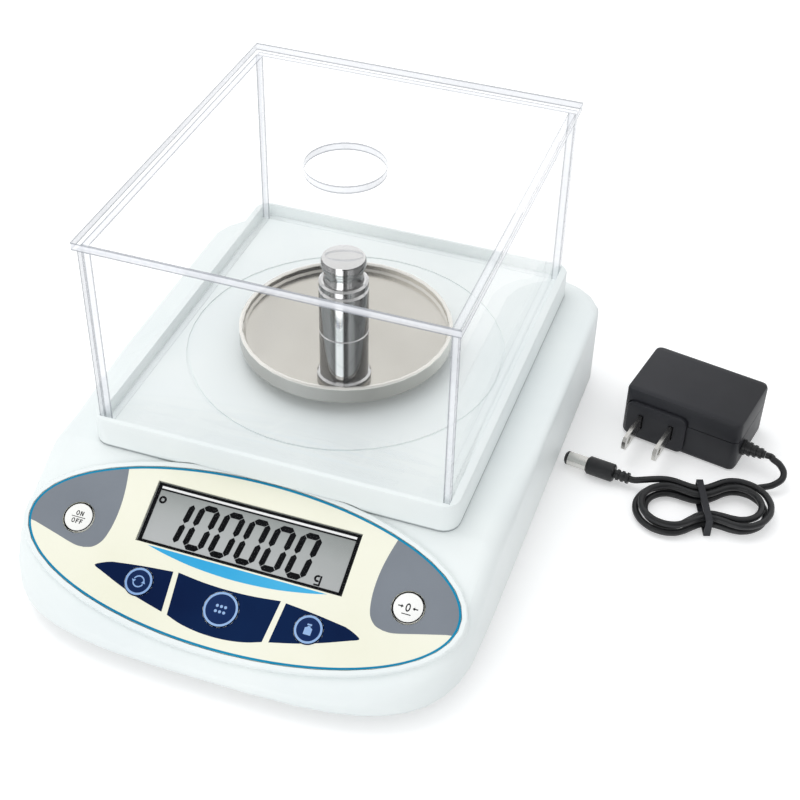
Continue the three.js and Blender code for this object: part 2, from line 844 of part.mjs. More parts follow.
function weighingPan() {
  const rimZ = panFloorZ + panRim;
  const skirtZ = rimZ - panSkirt;
  const hubInner = postRadius + gap;
  const hubOuter = hubInner + hubWall;
  const dish = revolve([
    [0, panFloorZ],
    [panRadius - panRimWidth - panDishRound, panFloorZ],
    [panRadius - panRimWidth, panFloorZ + panDishRound],
    [panRadius - panRimWidth, rimZ - panRimRound],
    [panRadius - panRimWidth + panRimRound, rimZ],
    [panRadius - panRimRound, rimZ],
    [panRadius, rimZ - panRimRound],
    [panRadius, skirtZ],
    [panRadius - panSheet, skirtZ],
    [panRadius - panSheet, panUndersideZ],
    [hubOuter, panUndersideZ],
    [hubOuter, panUndersideZ - hubHeight],
    [hubInner, panUndersideZ - hubHeight],
    [hubInner, panUndersideZ],
    [0, panUndersideZ],
  ], 36);
  return join([dish]);
}

// A socket head screw: the head stands on z = 0 and the shank hangs below it

function screw(radius, length, headRadius, headHeight) {
  const socketRadius = headRadius / 2;
  const head = join([
    rod(headRadius, 0, headHeight, 0, 0, 10),
    rod(radius, -length, headHeight / 2, 0, 0, 8),
  ]);
  return cut(head, [rod(socketRadius, headHeight / 2, headHeight + overrun, 0, 0, 6)]);
}

// Shield tray with its pocket, pan ring, post collar and snap lugs

function shieldTray() {
  const outer = slab(trayWidth, trayDepth, trayHeight, trayCornerRadius, trayEdge)
    .translate(0, trayCentreY, bodyTopZ);
  const pocket = block(
    shieldWidth + 2 * gap, shieldDepth + 2 * gap, trayHeight, 0, trayCentreY, trayFloorZ,
  );
  const undersideZ = trayFloorZ - trayFloor;
  const hollow = block(
    trayWidth - 2 * trayWall - trayCornerRadius, trayDepth - 2 * trayWall - trayCornerRadius,
    undersideZ - bodyTopZ + overrun, 0, trayCentreY, bodyTopZ - overrun,
  );
  const collar = rod(
    postHoleRadius + collarWall, trayFloorZ - trayFloor / 2, trayFloorZ + collarHeight, 0, trayCentreY, 32,
  );
  const lugTop = undersideZ + trayFloor / 2;
  const hookTopZ = ceilingZ - gap;
  const lugBottom = hookTopZ - lugHookHeight;
  const lugs = lugPlaces.flatMap(({ side, x, y }) => [
    block(lugThickness, lugWidth, lugTop - lugBottom, x, y, lugBottom),
    block(lugThickness, lugWidth, lugHookHeight, x + side * lugHook, y, lugBottom),
  ]);
  const postHole = rod(postHoleRadius, bodyTopZ - overrun, trayFloorZ + overrun, 0, trayCentreY, 32);
  const ringOuter = rod(
    trayRingRadius + trayRingWidth / 2, trayFloorZ - trayRingDepth, trayFloorZ + overrun, 0, trayCentreY, 48,
  );
  const ringInner = rod(
    trayRingRadius - trayRingWidth / 2, trayFloorZ - overrun, trayFloorZ + 2 * overrun, 0, trayCentreY, 48,
  );
  const ring = cut(solid(ringOuter), [ringInner]);
  const tray = cut(join([outer]), [pocket, hollow]).subtract(ring).add(join([collar, ...lugs]));
  return cut(tray, [postHole, bezelPad(gap)]);
}

// Wind shield plates

function addShield(parent) {
  const wallZ = trayFloorZ;
  const alongY = (shieldDepth - plateThickness) / 2;
  const alongX = (shieldWidth - plateThickness) / 2;
  const sideDepth = shieldDepth - 2 * (plateThickness + glueLine);
  const endWall = () => block(shieldWidth, plateThickness, shieldWallHeight, 0, 0, 0);
  const sideWall = () => block(plateThickness, sideDepth, shieldWallHeight, 0, 0, 0);
  place(parent, 'shield_front_wall', endWall(), acrylic, 0, trayCentreY - alongY, wallZ);
  place(parent, 'shield_back_wall', endWall(), acrylic, 0, trayCentreY + alongY, wallZ);
  place(parent, 'shield_left_wall', sideWall(), acrylic, -alongX, trayCentreY, wallZ);
  place(parent, 'shield_right_wall', sideWall(), acrylic, alongX, trayCentreY, wallZ);
  const plate = block(
    shieldWidth + 2 * lidOverhang, shieldDepth + 2 * lidOverhang, plateThickness, 0, 0, 0,
  );
  const hole = rod(lidHoleRadius, -overrun, plateThickness + overrun, lidHoleX, lidHoleOffsetY, 40);
  const lid = geometryOf(cut(join([plate]), [hole]));
  place(parent, 'shield_lid', lid, acrylic, 0, trayCentreY, wallZ + shieldWallHeight);
}

// Calibration weight: a flanged base, a two-part body, a hollow neck and a lifting knob

function calibrationWeight() {
  const bodyTop = weightBaseHeight + weightBodyHeight;
  const shoulderTop = bodyTop + weightShoulderHeight;
  const neckTop = shoulderTop + weightNeckHeight;
  const knobTop = neckTop + weightKnobHeight;
  const grooveZ = weightBaseHeight + weightBodyHeight / 2;
  const knobRound = quarterRound(weightKnobRound);
  return revolve([
    [0, 0],
    [weightBaseRadius - weightRound, 0],
    [weightBaseRadius, weightRound],
    [weightBaseRadius, weightBaseHeight - weightRound],
    [weightBaseRadius - weightRound, weightBaseHeight],
    [weightBodyRadius, weightBaseHeight],
    [weightBodyRadius, grooveZ - weightGroove],
    [weightBodyRadius - weightGroove, grooveZ],
    [weightBodyRadius, grooveZ + weightGroove],
    [weightBodyRadius, bodyTop - weightRound],
    [weightBodyRadius - weightRound, bodyTop],
    [weightShoulderRadius - weightRound, bodyTop],
    [weightShoulderRadius, bodyTop + weightRound],
    [weightShoulderRadius, shoulderTop - weightRound],
    [weightShoulderRadius - weightRound, shoulderTop],
    [weightNeckRadius + weightNeckHollow, shoulderTop],
    [weightNeckRadius, (shoulderTop + neckTop) / 2],
    [weightNeckRadius + weightNeckHollow, neckTop],
    ...knobRound.map(([inset, rise]) => [weightKnobRadius - inset, neckTop + rise]).reverse(),
    ...knobRound.map(([inset, fall]) => [weightKnobRadius - inset, knobTop - fall]),
    [0, knobTop],
  ], 24);
}

// Panel parts, each in the panel's frame

function keypadPanel() {
  const film = loft([ellipseLoop(0, panelLevel - panelThickness), ellipseLoop(0, panelLevel)]);
  const windowHole = block(
    windowWidth + 2 * gap, windowHeight + 2 * gap, 2 * overrun, 0, windowV, -overrun,
  );
  const keyHoles = keys.map(({ radius, x, v }) => rod(radius + keyFit, -overrun, overrun, x, v, 16));
  return cut(join([film]), [windowHole, ...keyHoles]);
}

function lcdModule() {
  const width = windowWidth + 2 * lcdMargin;
  const height = windowHeight + 2 * lcdMargin;
  const bottom = displayBoardTop + gap;
  const top = panelLevel - panelThickness - gap;
  return slab(width, height, top - bottom, lcdMargin / 2, lcdFit / 2).translate(0, windowV, bottom);
}

function key(radius) {
  const top = panelLevel + keyRise;
  return revolve([
    [0, keyStemBottom],
    [keyStemRadius, keyStemBottom],
    [keyStemRadius, keyFlangeBottom],
    [radius + keyFlange, keyFlangeBottom],
    [radius + keyFlange, keyFlangeTop],
    [radius, keyFlangeTop],
    ...quarterRound(keyEdge).map(([inset, fall]) => [radius - inset, top - fall]),
    [0, top],
  ], 16);
}

function keySwitch() {
  const bottom = displayBoardTop + gap;
  const top = keyStemBottom - keyTravel - keyPlay;
  const body = block(switchSize, switchSize, switchBodyHeight, 0, 0, bottom);
  return join([body, rod(switchPlungerRadius, bottom, top, 0, 0, 16)]);
}

function displayBoard() {
  const x = displayBoardHalfWidth;
  const front = displayBoardFrontV;
  const outlinePoints = [
    [x - displayBoardCut, front], [x, front + displayBoardCut], [x, displayBoardRearV],
    [-x, displayBoardRearV], [-x, front + displayBoardCut], [-x + displayBoardCut, front],
  ];
  const plate = prism(outlinePoints, displayBoardBottom, displayBoardTop);
  const socketTop = displayBoardBottom + boardThickness / 2;
  const socket = block(
    headerLength, ribbonPlugDepth, socketTop - displayBoardBottom + headerHeight,
    ribbonX, ribbonV, displayBoardBottom - headerHeight,
  );
  const bores = [-panelScrewX, panelScrewX].map((side) => rod(
    boardScrewRadius + gap, displayBoardBottom - overrun, displayBoardTop + overrun, side, panelScrewV, 12,
  ));
  return cut(join([plate, socket]), bores);
}

// Inner electronics

function mainBoard() {
  const plate = block(mainBoardWidth, mainBoardDepth, boardThickness, mainBoardX, mainBoardY, mainBoardZ);
  const root = mainBoardZ + boardThickness / 2;
  const onBoard = (width, depth, height, x, y) => block(
    width, depth, height + boardThickness / 2, x, y, root,
  );
  const parts = [
    onBoard(chipSize, chipSize, chipHeight, mainBoardX, mainBoardY),
    onBoard(headerLength, headerWidth, headerHeight, ribbonX, headerY),
    onBoard(headerWidth, headerWidth, headerHeight, cellHeaderX(), headerY),
    rod(
      capacitorRadius, root, mainBoardTopZ + capacitorHeight,
      mainBoardX + chipSize, mainBoardY + chipSize, 20,
    ),
  ];
  const bores = mainBoardScrewPlaces.map(([x, y]) => rod(
    boardScrewRadius + gap, mainBoardZ - overrun, mainBoardTopZ + overrun, x, y, 12,
  ));
  return cut(join([plate, ...parts]), bores);
}

function cellHeaderX() {
  return mainBoardX + mainBoardWidth / 2 - headerWidth / 2;
}

function dcJack() {
  const faceY = bodyRearY - jackRecess;
  const boreZ = mainBoardTopZ + jackBoreRise;
  const bodyBlock = block(
    jackWidth, jackLength, jackHeight, jackX, faceY - jackLength / 2, mainBoardTopZ,
  );
  const alongY = (radius, length, y) => new THREE.CylinderGeometry(radius, radius, length, 20)
    .translate(jackX, y, boreZ);
  const bore = alongY(jackBoreRadius, jackBoreDepth + overrun, faceY + (overrun - jackBoreDepth) / 2);
  const pinLength = jackBoreDepth + jackPinRadius;
  const pin = alongY(jackPinRadius, pinLength, faceY - jackRecess - pinLength / 2);
  return cut(join([bodyBlock]), [bore]).add(join([pin]));
}

function tube(points, radius, sides, steps) {
  const path = new THREE.CatmullRomCurve3(points.map((p) => new THREE.Vector3(...p)), false, 'centripetal');
  const section = new THREE.Shape(Array.from({ length: sides }, (_, i) => {
    const angle = i / sides * 2 * Math.PI;
    return new THREE.Vector2(radius * Math.cos(angle), radius * Math.sin(angle));
  }));
  return new THREE.ExtrudeGeometry(section, { steps, extrudePath: path, bevelEnabled: false });
}

// The load cell's lead leaves the side of its fixed end and drops onto its header

function loadCellCable() {
  const startX = -loadCellWidth / 2 - gap;
  const headerTop = mainBoardTopZ + headerHeight + gap;
  const highZ = loadCellZ + loadCellHeight / 2 + 2 * cellLeadRadius;
  const endX = cellHeaderX();
  const bend = 2 * cellLeadRadius;
  return tube([
    [startX, headerY, highZ],
    [startX - bend, headerY, highZ],
    [endX + bend, headerY, highZ],
    [endX, headerY, highZ - bend],
    [endX, headerY, headerTop],
  ], cellLeadRadius, 8, 12);
}

// A flat ribbon between the two boards, seen from the side as a smooth strip

function ribbonCable() {
  const startZ = mainBoardTopZ + headerHeight + gap;
  const socket = new THREE.Vector3(0, ribbonV, displayBoardBottom - headerHeight - gap)
    .applyAxisAngle(new THREE.Vector3(1, 0, 0), panelTilt)
    .add(new THREE.Vector3(0, crestY, bodyTopZ));
  const down = new THREE.Vector3(0, Math.sin(panelTilt), -Math.cos(panelTilt));
  const low = socket.clone().addScaledVector(down, ribbonPlugHeight);
  const highZ = startZ + ribbonPlugHeight;
  const path = new THREE.CatmullRomCurve3([
    new THREE.Vector3(0, headerY, startZ),
    new THREE.Vector3(0, headerY, highZ),
    new THREE.Vector3(0, headerY - ribbonRun / 2, highZ + ribbonThickness),
    new THREE.Vector3(0, low.y + ribbonRun, low.z),
    low,
    socket,
  ], false, 'centripetal');
  const rails = [[], []];
  for (let i = 0; i <= ribbonSteps; i += 1) {
    const point = path.getPoint(i / ribbonSteps);
    const along = path.getTangent(i / ribbonSteps);
    for (const side of [0, 1]) {
      const offset = (side - 1 / 2) * ribbonThickness;
      rails[side].push([point.y - along.z * offset, point.z + along.y * offset]);
    }
  }
  return prism([...rails[0], ...rails[1].reverse()], -ribbonWidth / 2, ribbonWidth / 2)
    .rotateX(Math.PI / 2)
    .rotateZ(Math.PI / 2)
    .translate(ribbonX, 0, 0);
}

// A levelling foot: a lobed rubber wheel with a collar and a threaded stud

function lobedLoop(inset, z) {
  const steps = footLobeSteps * footLobes / 2;
  const right = Array.from({ length: steps }, (_, i) => {
    const angle = ((i + 1 / 2) / steps - 1 / 2) * Math.PI;
    const dip = footLobeDepth * (1 - Math.cos(footLobes * angle)) / 2;
    const radius = footRadius - dip - inset;
    return new THREE.Vector3(radius * Math.cos(angle), radius * Math.sin(angle), z);
  });
  return mirrored(right);
}

function levellingFoot() {
  const wheel = loft([
    lobedLoop(footEdge, 0),
    lobedLoop(0, footEdge),
    lobedLoop(0, footHeight - footEdge),
    lobedLoop(footEdge, footHeight),
  ]);
  const collar = rod(footCollarRadius, footHeight / 2, footClearance - gap);
  const stud = rod(footStudRadius, footHeight / 2, footBossTopZ + footStudProud);
  return join([wheel, collar, stud]);
}

// Mains adapter, in its own frame: the case stands on z = 0, the blades point to -y
// and the lead leaves towards +x

function adapterShell(z0, z1) {
  const whole = slab(
    adapterLength, adapterDepth, adapterHeight, adapterCorner, adapterEdge, adapterEdge,
  );
  return join([whole]).intersect(join([block(
    adapterLength, adapterDepth, z1 - z0, 0, 0, z0,
  )]));
}

function adapterCavity(z0, z1) {
  return block(
    adapterLength - 2 * adapterWall, adapterDepth - 2 * adapterWall, z1 - z0, 0, 0, z0,
  );
}

function bladePlaces() {
  return [-bladeSpacing / 2, bladeSpacing / 2].map((offset) => blockOffset + offset);
}

function prongBlock(margin) {
  const depth = adapterWall + blockRise;
  return slab(blockLength + 2 * margin, blockHeight + 2 * margin, depth, adapterCorner, adapterEdge / 2)
    .rotateX(Math.PI / 2)
    .translate(blockOffset, adapterWall - adapterDepth / 2, bladeZ);
}

function adapterBody() {
  const frontY = -adapterDepth / 2 - blockRise;
  const bladeSlots = bladePlaces().map((x) => block(
    bladeThickness + 2 * gap, adapterDepth, bladeWidth + 2 * gap, x, frontY, bladeZ - bladeWidth / 2 - gap,
  ));
  const reliefHole = new THREE.CylinderGeometry(cordRadius, cordRadius, 2 * overrun, 12)
    .rotateZ(Math.PI / 2)
    .translate(adapterLength / 2, reliefOffset, reliefZ);
  const shell = cut(adapterShell(0, adapterSeamZ), [adapterCavity(adapterWall, adapterHeight)]);
  return cut(shell.add(join([prongBlock(0)])), [...bladeSlots, reliefHole]);
}

function adapterCover() {
  const cover = adapterShell(adapterSeamZ + gap, adapterHeight);
  return cut(cover, [adapterCavity(0, adapterHeight - adapterWall), prongBlock(gap)]);
}

// A flat blade with a tapered tip and a hole, drawn in plan along -y

function adapterBlade() {
  const half = bladeWidth / 2;
  const plate = prism([
    [-half, bladeRoot], [-half, -bladeLength + bladeTip], [-half + bladeTip, -bladeLength],
    [half - bladeTip, -bladeLength], [half, -bladeLength + bladeTip], [half, bladeRoot],
  ], -bladeThickness / 2, bladeThickness / 2);
  const hole = rod(bladeHoleRadius, -overrun, overrun, 0, bladeHoleInset - bladeLength, 16);
  return geometryOf(cut(join([plate]), [hole]).rotate([0, 90, 0]));
}

// A sleeve with rings moulded round it, lying along +x from x = 0

function ringedSleeve(length, startRadius, endRadius, rings, ringDepth) {
  const pitch = length / rings;
  const profile = [[0, 0]];
  for (let i = 0; i < rings; i += 1) {
    const radius = THREE.MathUtils.lerp(startRadius, endRadius, i / (rings - 1));
    const z = i * pitch;
    profile.push([radius, z], [radius, z + pitch / 2]);
    profile.push([radius - ringDepth, z + pitch / 2], [radius - ringDepth, z + pitch]);
  }
  profile.push([0, length]);
  return revolve(profile, 14).rotateY(Math.PI / 2);
}

function strainRelief() {
  return ringedSleeve(reliefLength, reliefRadius, reliefTipRadius, reliefRibs, reliefRibDepth);
}

// Plug, lying along +x from the lead to the tip

function plugSleeve() {
  const neck = ringedSleeve(plugNeckLength, plugNeckRadius, plugNeckRadius, plugRings, plugRingDepth);
  const edge = plugRingDepth;
  const grip = revolve([
    [0, -edge],
    [plugSleeveRadius - edge, 0],
    [plugSleeveRadius, edge],
    [plugSleeveRadius, plugSleeveLength - edge],
    [plugSleeveRadius - edge, plugSleeveLength],
    [0, plugSleeveLength],
  ], 16).rotateY(Math.PI / 2).translate(plugNeckLength, 0, 0);
  return join([neck, grip]);
}

function plugBarrel() {
  const edge = plugBarrelRadius - plugBoreRadius;
  return revolve([
    [0, 0],
    [plugBarrelRadius, 0],
    [plugBarrelRadius, plugBarrelLength - edge / 2],
    [plugBarrelRadius - edge / 2, plugBarrelLength],
    [plugBoreRadius, plugBarrelLength],
    [plugBoreRadius, plugBarrelLength - plugBoreDepth],
    [0, plugBarrelLength - plugBoreDepth],
  ], 16).rotateY(Math.PI / 2);
}

// The hank: loops that spiral in on a lower layer and out again on an upper one,
// climbing along a run, all drawn in alike at the waist

const lastPointShare = 1 - 1e-9;

function hankPath() {
  const reversal = hankLoops / 2 + 1 / 8;
  const end = hankLoops + 1 / 4;
  const points = [];
  const add = (turn) => {
    const share = turn - Math.floor(turn);
    const radius = hankFoldRadius + hankPitch * Math.abs(turn - reversal);
    const climb = THREE.MathUtils.smoothstep(turn, reversal - 1 / 8, reversal + 1 / 8);
    const z = hankZ + hankLayer * climb;
    const upper = share < 1 / 2 ? 1 : -1;
    const along = (share % (1 / 2)) * 4;
    if (along < 1) {
      const x = upper * hankHalfRun * (1 - 2 * along);
      const waist = (1 + Math.cos(Math.PI * x / hankHalfRun)) / 2;
      points.push(new THREE.Vector3(x, upper * (radius - hankDraw * waist), z));
    } else {
      const angle = (along - 1) * Math.PI;
      const x = -upper * (hankHalfRun + radius * Math.sin(angle));
      points.push(new THREE.Vector3(x, upper * radius * Math.cos(angle), z));
    }
  };
  for (let turn = 0; turn < end; turn += 1 / 2) {
    for (let i = 0; i < hankRunSteps; i += 1) add(turn + i / hankRunSteps / 4);
    if (turn + 1 / 4 >= end) break;
    for (let i = 0; i < hankFoldSteps; i += 1) add(turn + (1 + i / hankFoldSteps) / 4);
  }
  add(end * lastPointShare);
  const straight = new THREE.Vector3(2 * cordRadius, 0, 0);
  points.unshift(points[0].clone().add(straight));
  points.push(points[points.length - 1].clone().sub(straight));
  return points;
}

// The least gap between stretches of a cord that lie well apart along it

function leastGap(points, radius) {
  const dense = [];
  let length = 0;
  for (let i = 0; i + 1 < points.length; i += 1) {
    const step = points[i].distanceTo(points[i + 1]);
    for (const share of [0, 1 / 4, 1 / 2, 3 / 4]) {
      dense.push({ at: length + share * step, point: points[i].clone().lerp(points[i + 1], share) });
    }
    length += step;
  }
  let least = Infinity;
  for (const [i, a] of dense.entries()) {
    for (const b of dense.slice(i + 1)) {
      if (b.at - a.at < hankCompareDistance) continue;
      least = Math.min(least, a.point.distanceTo(b.point) - 2 * radius);
    }
  }
  return least;
}

// A tube with rings of points square to the path, closed by a cap at each end

function sweep(points, radius, sides) {
  const position = [];
  const index = [];
  const up = new THREE.Vector3(0, 0, 1);
  points.forEach((point, i) => {
    const before = points[Math.max(i - 1, 0)];
    const after = points[Math.min(i + 1, points.length - 1)];
    const along = after.clone().sub(before).normalize();
    const across = along.clone().cross(up).normalize();
    const lift = across.clone().cross(along);
    for (let side = 0; side < sides; side += 1) {
      const angle = side / sides * 2 * Math.PI;
      const ring = point.clone()
        .addScaledVector(across, radius * Math.cos(angle))
        .addScaledVector(lift, radius * Math.sin(angle));
      position.push(ring.x, ring.y, ring.z);
    }
  });
  for (let i = 0; i + 1 < points.length; i += 1) {
    for (let side = 0; side < sides; side += 1) {
      const a = i * sides + side;
      const b = i * sides + (side + 1) % sides;
      index.push(a, b, b + sides, a, b + sides, a + sides);
    }
  }
  const last = (points.length - 1) * sides;
  for (let side = 1; side + 1 < sides; side += 1) {
    index.push(0, side + 1, side);
    index.push(last, last + side, last + side + 1);
  }
  const geometry = new THREE.BufferGeometry();
  geometry.setAttribute('position', new THREE.Float32BufferAttribute(position, 3));
  geometry.setIndex(index);
  return geometry;
}

function cordHank() {
  const path = hankPath();
  console.log(`least gap of the hank to itself: ${leastGap(path, cordRadius).toFixed(2)} mm`);
  return join([sweep(path, cordRadius, hankSides)]);
}

// A flat tie wrapped once round the waist of both layers

function hankTie() {
  const reach = hankFoldRadius + hankPitch * (hankLoops / 2 + 1 / 8) - hankDraw + cordRadius + gap;
  const height = hankLayer + 2 * (cordRadius + gap);
  const band = block(tieWidth, 2 * (reach + tieThickness), height + 2 * tieThickness, 0, 0, 0);
  const opening = block(tieWidth + overrun, 2 * reach, height, 0, 0, tieThickness);
  return cut(join([band]), [opening]);
}

// A point of a group, and another that lies the distance from it along the group's x

function along(group, point, distance) {
  const end = new THREE.Vector3(...point).applyMatrix4(group.matrix);
  const other = new THREE.Vector3(point[0] + distance, point[1], point[2]).applyMatrix4(group.matrix);
  return [end.toArray(), other.toArray()];
}

// Assembly

function place(parent, name, shape, material, x = 0, y = 0, z = 0) {
  const geometry = shape.isBufferGeometry ? shape : geometryOf(shape);
  const mesh = new THREE.Mesh(geometry, material());
  mesh.name = name;
  mesh.position.set(x, y, z);
  parent.add(mesh);
  return mesh;
}

function group(parent, x, y, z, turn = 0) {
  const child = new THREE.Group();
  child.position.set(x, y, z);
  child.rotation.z = turn;
  child.updateMatrix();
  parent.add(child);
  return child;
}

function addHousing(parent) {
  place(parent, 'upper_housing', upperHousing(), whiteHousing);
  place(parent, 'lower_housing', lowerHousing(), whiteHousing);
  place(parent, 'shield_tray', shieldTray(), whiteHousing);
  const headZ = footClearance + caseScrewSink + caseScrewHeadHeight;
  caseScrewPlaces.forEach(([x, y], i) => {
    const body = screw(caseScrewRadius, caseScrewLength, caseScrewHeadRadius, caseScrewHeadHeight);
    const mesh = place(parent, `case_screw_${i + 1}`, body, zincSteel, x, y, headZ);
    mesh.rotation.x = Math.PI;
  });
  footPlaces.forEach(([x, y], i) => {
    place(parent, `levelling_foot_${i + 1}`, levellingFoot(), rubberBlack, x, y, 0);
  });
}

function addWeighing(parent) {
  place(parent, 'load_cell', loadCell(), castAluminium);
  place(parent, 'pan_support', panSupport(), castAluminium);
  place(parent, 'weighing_pan', weighingPan(), panSteel, 0, trayCentreY, 0);
  const cellLength = loadCellHeight + cellScrewGrip;
  cellScrewYs().forEach((y, i) => {
    const body = screw(cellScrewRadius, cellLength, cellScrewHeadRadius, cellScrewHeadHeight);
    place(parent, `load_cell_screw_${i + 1}`, body, zincSteel, 0, y, loadCellTopZ);
  });
  const bracketTop = bracketZ + bracketThickness + gap;
  bracketScrewYs().forEach((y, i) => {
    const length = bracketTop - loadCellTopZ + bracketScrewGrip;
    const body = screw(cellScrewRadius, length, cellScrewHeadRadius, cellScrewHeadHeight);
    place(parent, `bracket_screw_${i + 1}`, body, zincSteel, 0, y, bracketTop);
  });
  const stopZ = loadCellZ - stopPlay - stopHeadHeight;
  const stopLength = stopZ - footClearance - baseFloor / 2 - gap;
  const stop = screw(cellScrewRadius, stopLength, cellScrewHeadRadius, stopHeadHeight);
  place(parent, 'overload_stop_screw', stop, zincSteel, 0, loadCellFrontY + stopScrewInset, stopZ);
  place(
    parent, 'calibration_weight', calibrationWeight(), chrome,
    weightX, trayCentreY + weightOffsetY, panFloorZ,
  );
}

function addPanel(parent) {
  const panel = new THREE.Group();
  panel.position.set(0, crestY, bodyTopZ);
  panel.rotation.x = panelTilt;
  parent.add(panel);
  place(panel, 'keypad_panel', keypadPanel(), panelFilm);
  const window = block(windowWidth, windowHeight, panelThickness, 0, windowV, panelLevel - panelThickness);
  place(panel, 'display_window', window, acrylic);
  place(panel, 'lcd_module', lcdModule(), lcdGrey);
  place(panel, 'display_board', displayBoard(), circuitGreen);
  for (const { name, radius, x, v, material } of keys) {
    place(panel, name, key(radius), material, x, v, 0);
    place(panel, `${name}_switch`, keySwitch(), blackPlastic, x, v, 0);
  }
  [-panelScrewX, panelScrewX].forEach((x, i) => {
    const length = boardThickness + 2 * gap + boardScrewGrip;
    const body = screw(boardScrewRadius, length, boardScrewHeadRadius, boardScrewHeadHeight);
    const z = displayBoardBottom - gap;
    const mesh = place(panel, `display_board_screw_${i + 1}`, body, zincSteel, x, panelScrewV, z);
    mesh.rotation.x = Math.PI;
  });
}

function addElectronics(parent) {
  place(parent, 'main_board', mainBoard(), circuitGreen);
  place(parent, 'dc_jack', dcJack(), blackPlastic);
  place(parent, 'load_cell_cable', loadCellCable(), greyCable);
  place(parent, 'ribbon_cable', ribbonCable(), greyCable);
  mainBoardScrewPlaces.forEach(([x, y], i) => {
    const length = boardThickness + boardScrewGrip;
    const body = screw(boardScrewRadius, length, boardScrewHeadRadius, boardScrewHeadHeight);
    place(parent, `main_board_screw_${i + 1}`, body, zincSteel, x, y, mainBoardTopZ);
  });
}

function addAdapter(parent) {
  const adapter = group(parent, adapterX, adapterY, 0, adapterTurn);
  place(adapter, 'adapter_body', adapterBody(), blackPlastic);
  place(adapter, 'adapter_cover', adapterCover(), blackPlastic);
  bladePlaces().forEach((x, i) => {
    const frontY = -adapterDepth / 2 - blockRise;
    place(adapter, `adapter_blade_${i + 1}`, adapterBlade(), nickel, x, frontY, bladeZ);
  });
  const reliefX = adapterLength / 2 + gap;
  place(adapter, 'strain_relief', strainRelief(), rubberBlack, reliefX, reliefOffset, reliefZ);

  const hank = group(parent, hankX, hankY, 0, hankTurn);
  place(hank, 'cord_hank', cordHank(), rubberBlack);
  place(hank, 'hank_tie', hankTie(), blackPlastic);

  const plug = group(parent, plugX, plugY, plugSleeveRadius + gap, plugTurn);
  place(plug, 'plug_sleeve', plugSleeve(), rubberBlack);
  const barrelX = plugNeckLength + plugSleeveLength + gap;
  place(plug, 'plug_barrel', plugBarrel(), nickel, barrelX, 0, 0);

  const hankEnds = hankPath();
  const first = hankEnds[0].toArray();
  const last = hankEnds[hankEnds.length - 1].toArray();
  const straight = 2 * cordRadius;
  const reliefEnd = [reliefX + reliefLength + gap, reliefOffset, reliefZ];
  const lead = [
    ...along(adapter, reliefEnd, straight),
    ...cordLeadPoints,
    ...along(hank, [first[0] + gap, first[1], first[2]], straight).reverse(),
  ];
  const tail = [
    ...along(hank, [last[0] - gap, last[1], last[2]], -cordRadius),
    ...cordTailPoints,
    ...along(plug, [-gap, 0, 0], -cordRadius).reverse(),
  ];
  place(parent, 'cord_lead', tube(lead, cordRadius, cordSides, 16), rubberBlack);
  place(parent, 'cord_tail', tube(tail, cordRadius, cordSides, 8), rubberBlack);
}

const balance = new THREE.Group();
balance.name = 'laboratory_balance';
addHousing(balance);
addWeighing(balance);
addPanel(balance);
addElectronics(balance);
addShield(balance);
addAdapter(balance);

export default balance;
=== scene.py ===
"""Laboratory balance with its wind shield, weight and mains adapter, round the CAD frame.

Sizes are in millimetres in the part's own frame, unless a comment says otherwise. Places on the
sloped control panel are given as u across it, v up its slope and w out of it.
"""

import math

import bpy
from mathutils import Matrix, Vector

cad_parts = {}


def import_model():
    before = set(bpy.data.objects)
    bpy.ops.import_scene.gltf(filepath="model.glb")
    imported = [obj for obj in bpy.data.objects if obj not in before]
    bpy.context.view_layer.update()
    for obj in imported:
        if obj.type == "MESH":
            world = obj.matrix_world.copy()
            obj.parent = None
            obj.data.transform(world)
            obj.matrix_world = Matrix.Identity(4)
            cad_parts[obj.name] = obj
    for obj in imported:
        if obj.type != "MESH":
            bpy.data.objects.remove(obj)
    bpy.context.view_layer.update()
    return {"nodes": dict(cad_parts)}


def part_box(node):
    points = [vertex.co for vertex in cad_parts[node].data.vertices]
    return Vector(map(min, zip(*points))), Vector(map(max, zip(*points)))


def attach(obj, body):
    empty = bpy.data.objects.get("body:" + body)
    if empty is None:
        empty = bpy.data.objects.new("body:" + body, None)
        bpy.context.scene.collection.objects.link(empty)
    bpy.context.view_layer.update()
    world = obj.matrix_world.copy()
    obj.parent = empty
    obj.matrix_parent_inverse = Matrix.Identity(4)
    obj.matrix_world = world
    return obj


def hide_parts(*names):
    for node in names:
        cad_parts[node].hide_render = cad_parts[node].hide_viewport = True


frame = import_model()
nodes = frame["nodes"]

MM = 0.001
MICRON = 0.000001

# The control panel and the height of its layers

PANEL_ORIGIN = (0, -51.4, 40.3)
PANEL_SLOPE = math.radians(26.4)
FILM_HALF_WIDTH = 78.6
FILM_HALF_HEIGHT = 30.4
FILM_CENTRE_V = -29.5
FILM_TOP = 1.34
KEY_TOP = 1.74
LCD_TOP = 0.34
PRINT_DEPTH = 0.03
WINDOW_WIDTH = 75.2
WINDOW_HEIGHT = 22.1
WINDOW_CENTRE_V = -19.4

# Each key's u, v and radius

KEYS = {
    "power_key": (-60.5, -28.4, 5.45),
    "zero_key": (60.5, -28.4, 5.45),
    "unit_key": (-30.9, -44.4, 4.85),
    "calibrate_key": (30.9, -44.4, 4.85),
    "count_key": (0, -45.9, 6),
}
WHITE_KEYS = ("power_key", "zero_key")
KEY_GAP = 0.3

# The adapter, the hank and the plug stand at x, y, z, turned by so many degrees

ADAPTER = (128, 79, 0, -11)
HANK = (141.5, 31, 0, 20)
PLUG = (111.6, 36.8, 3.9, 172)


def placed(place, point):
    """A point of a group that stands at place, turned about the vertical."""
    x, y, z, turn = place
    return Vector((x, y, z)) + Matrix.Rotation(math.radians(turn), 3, "Z") @ Vector(point)


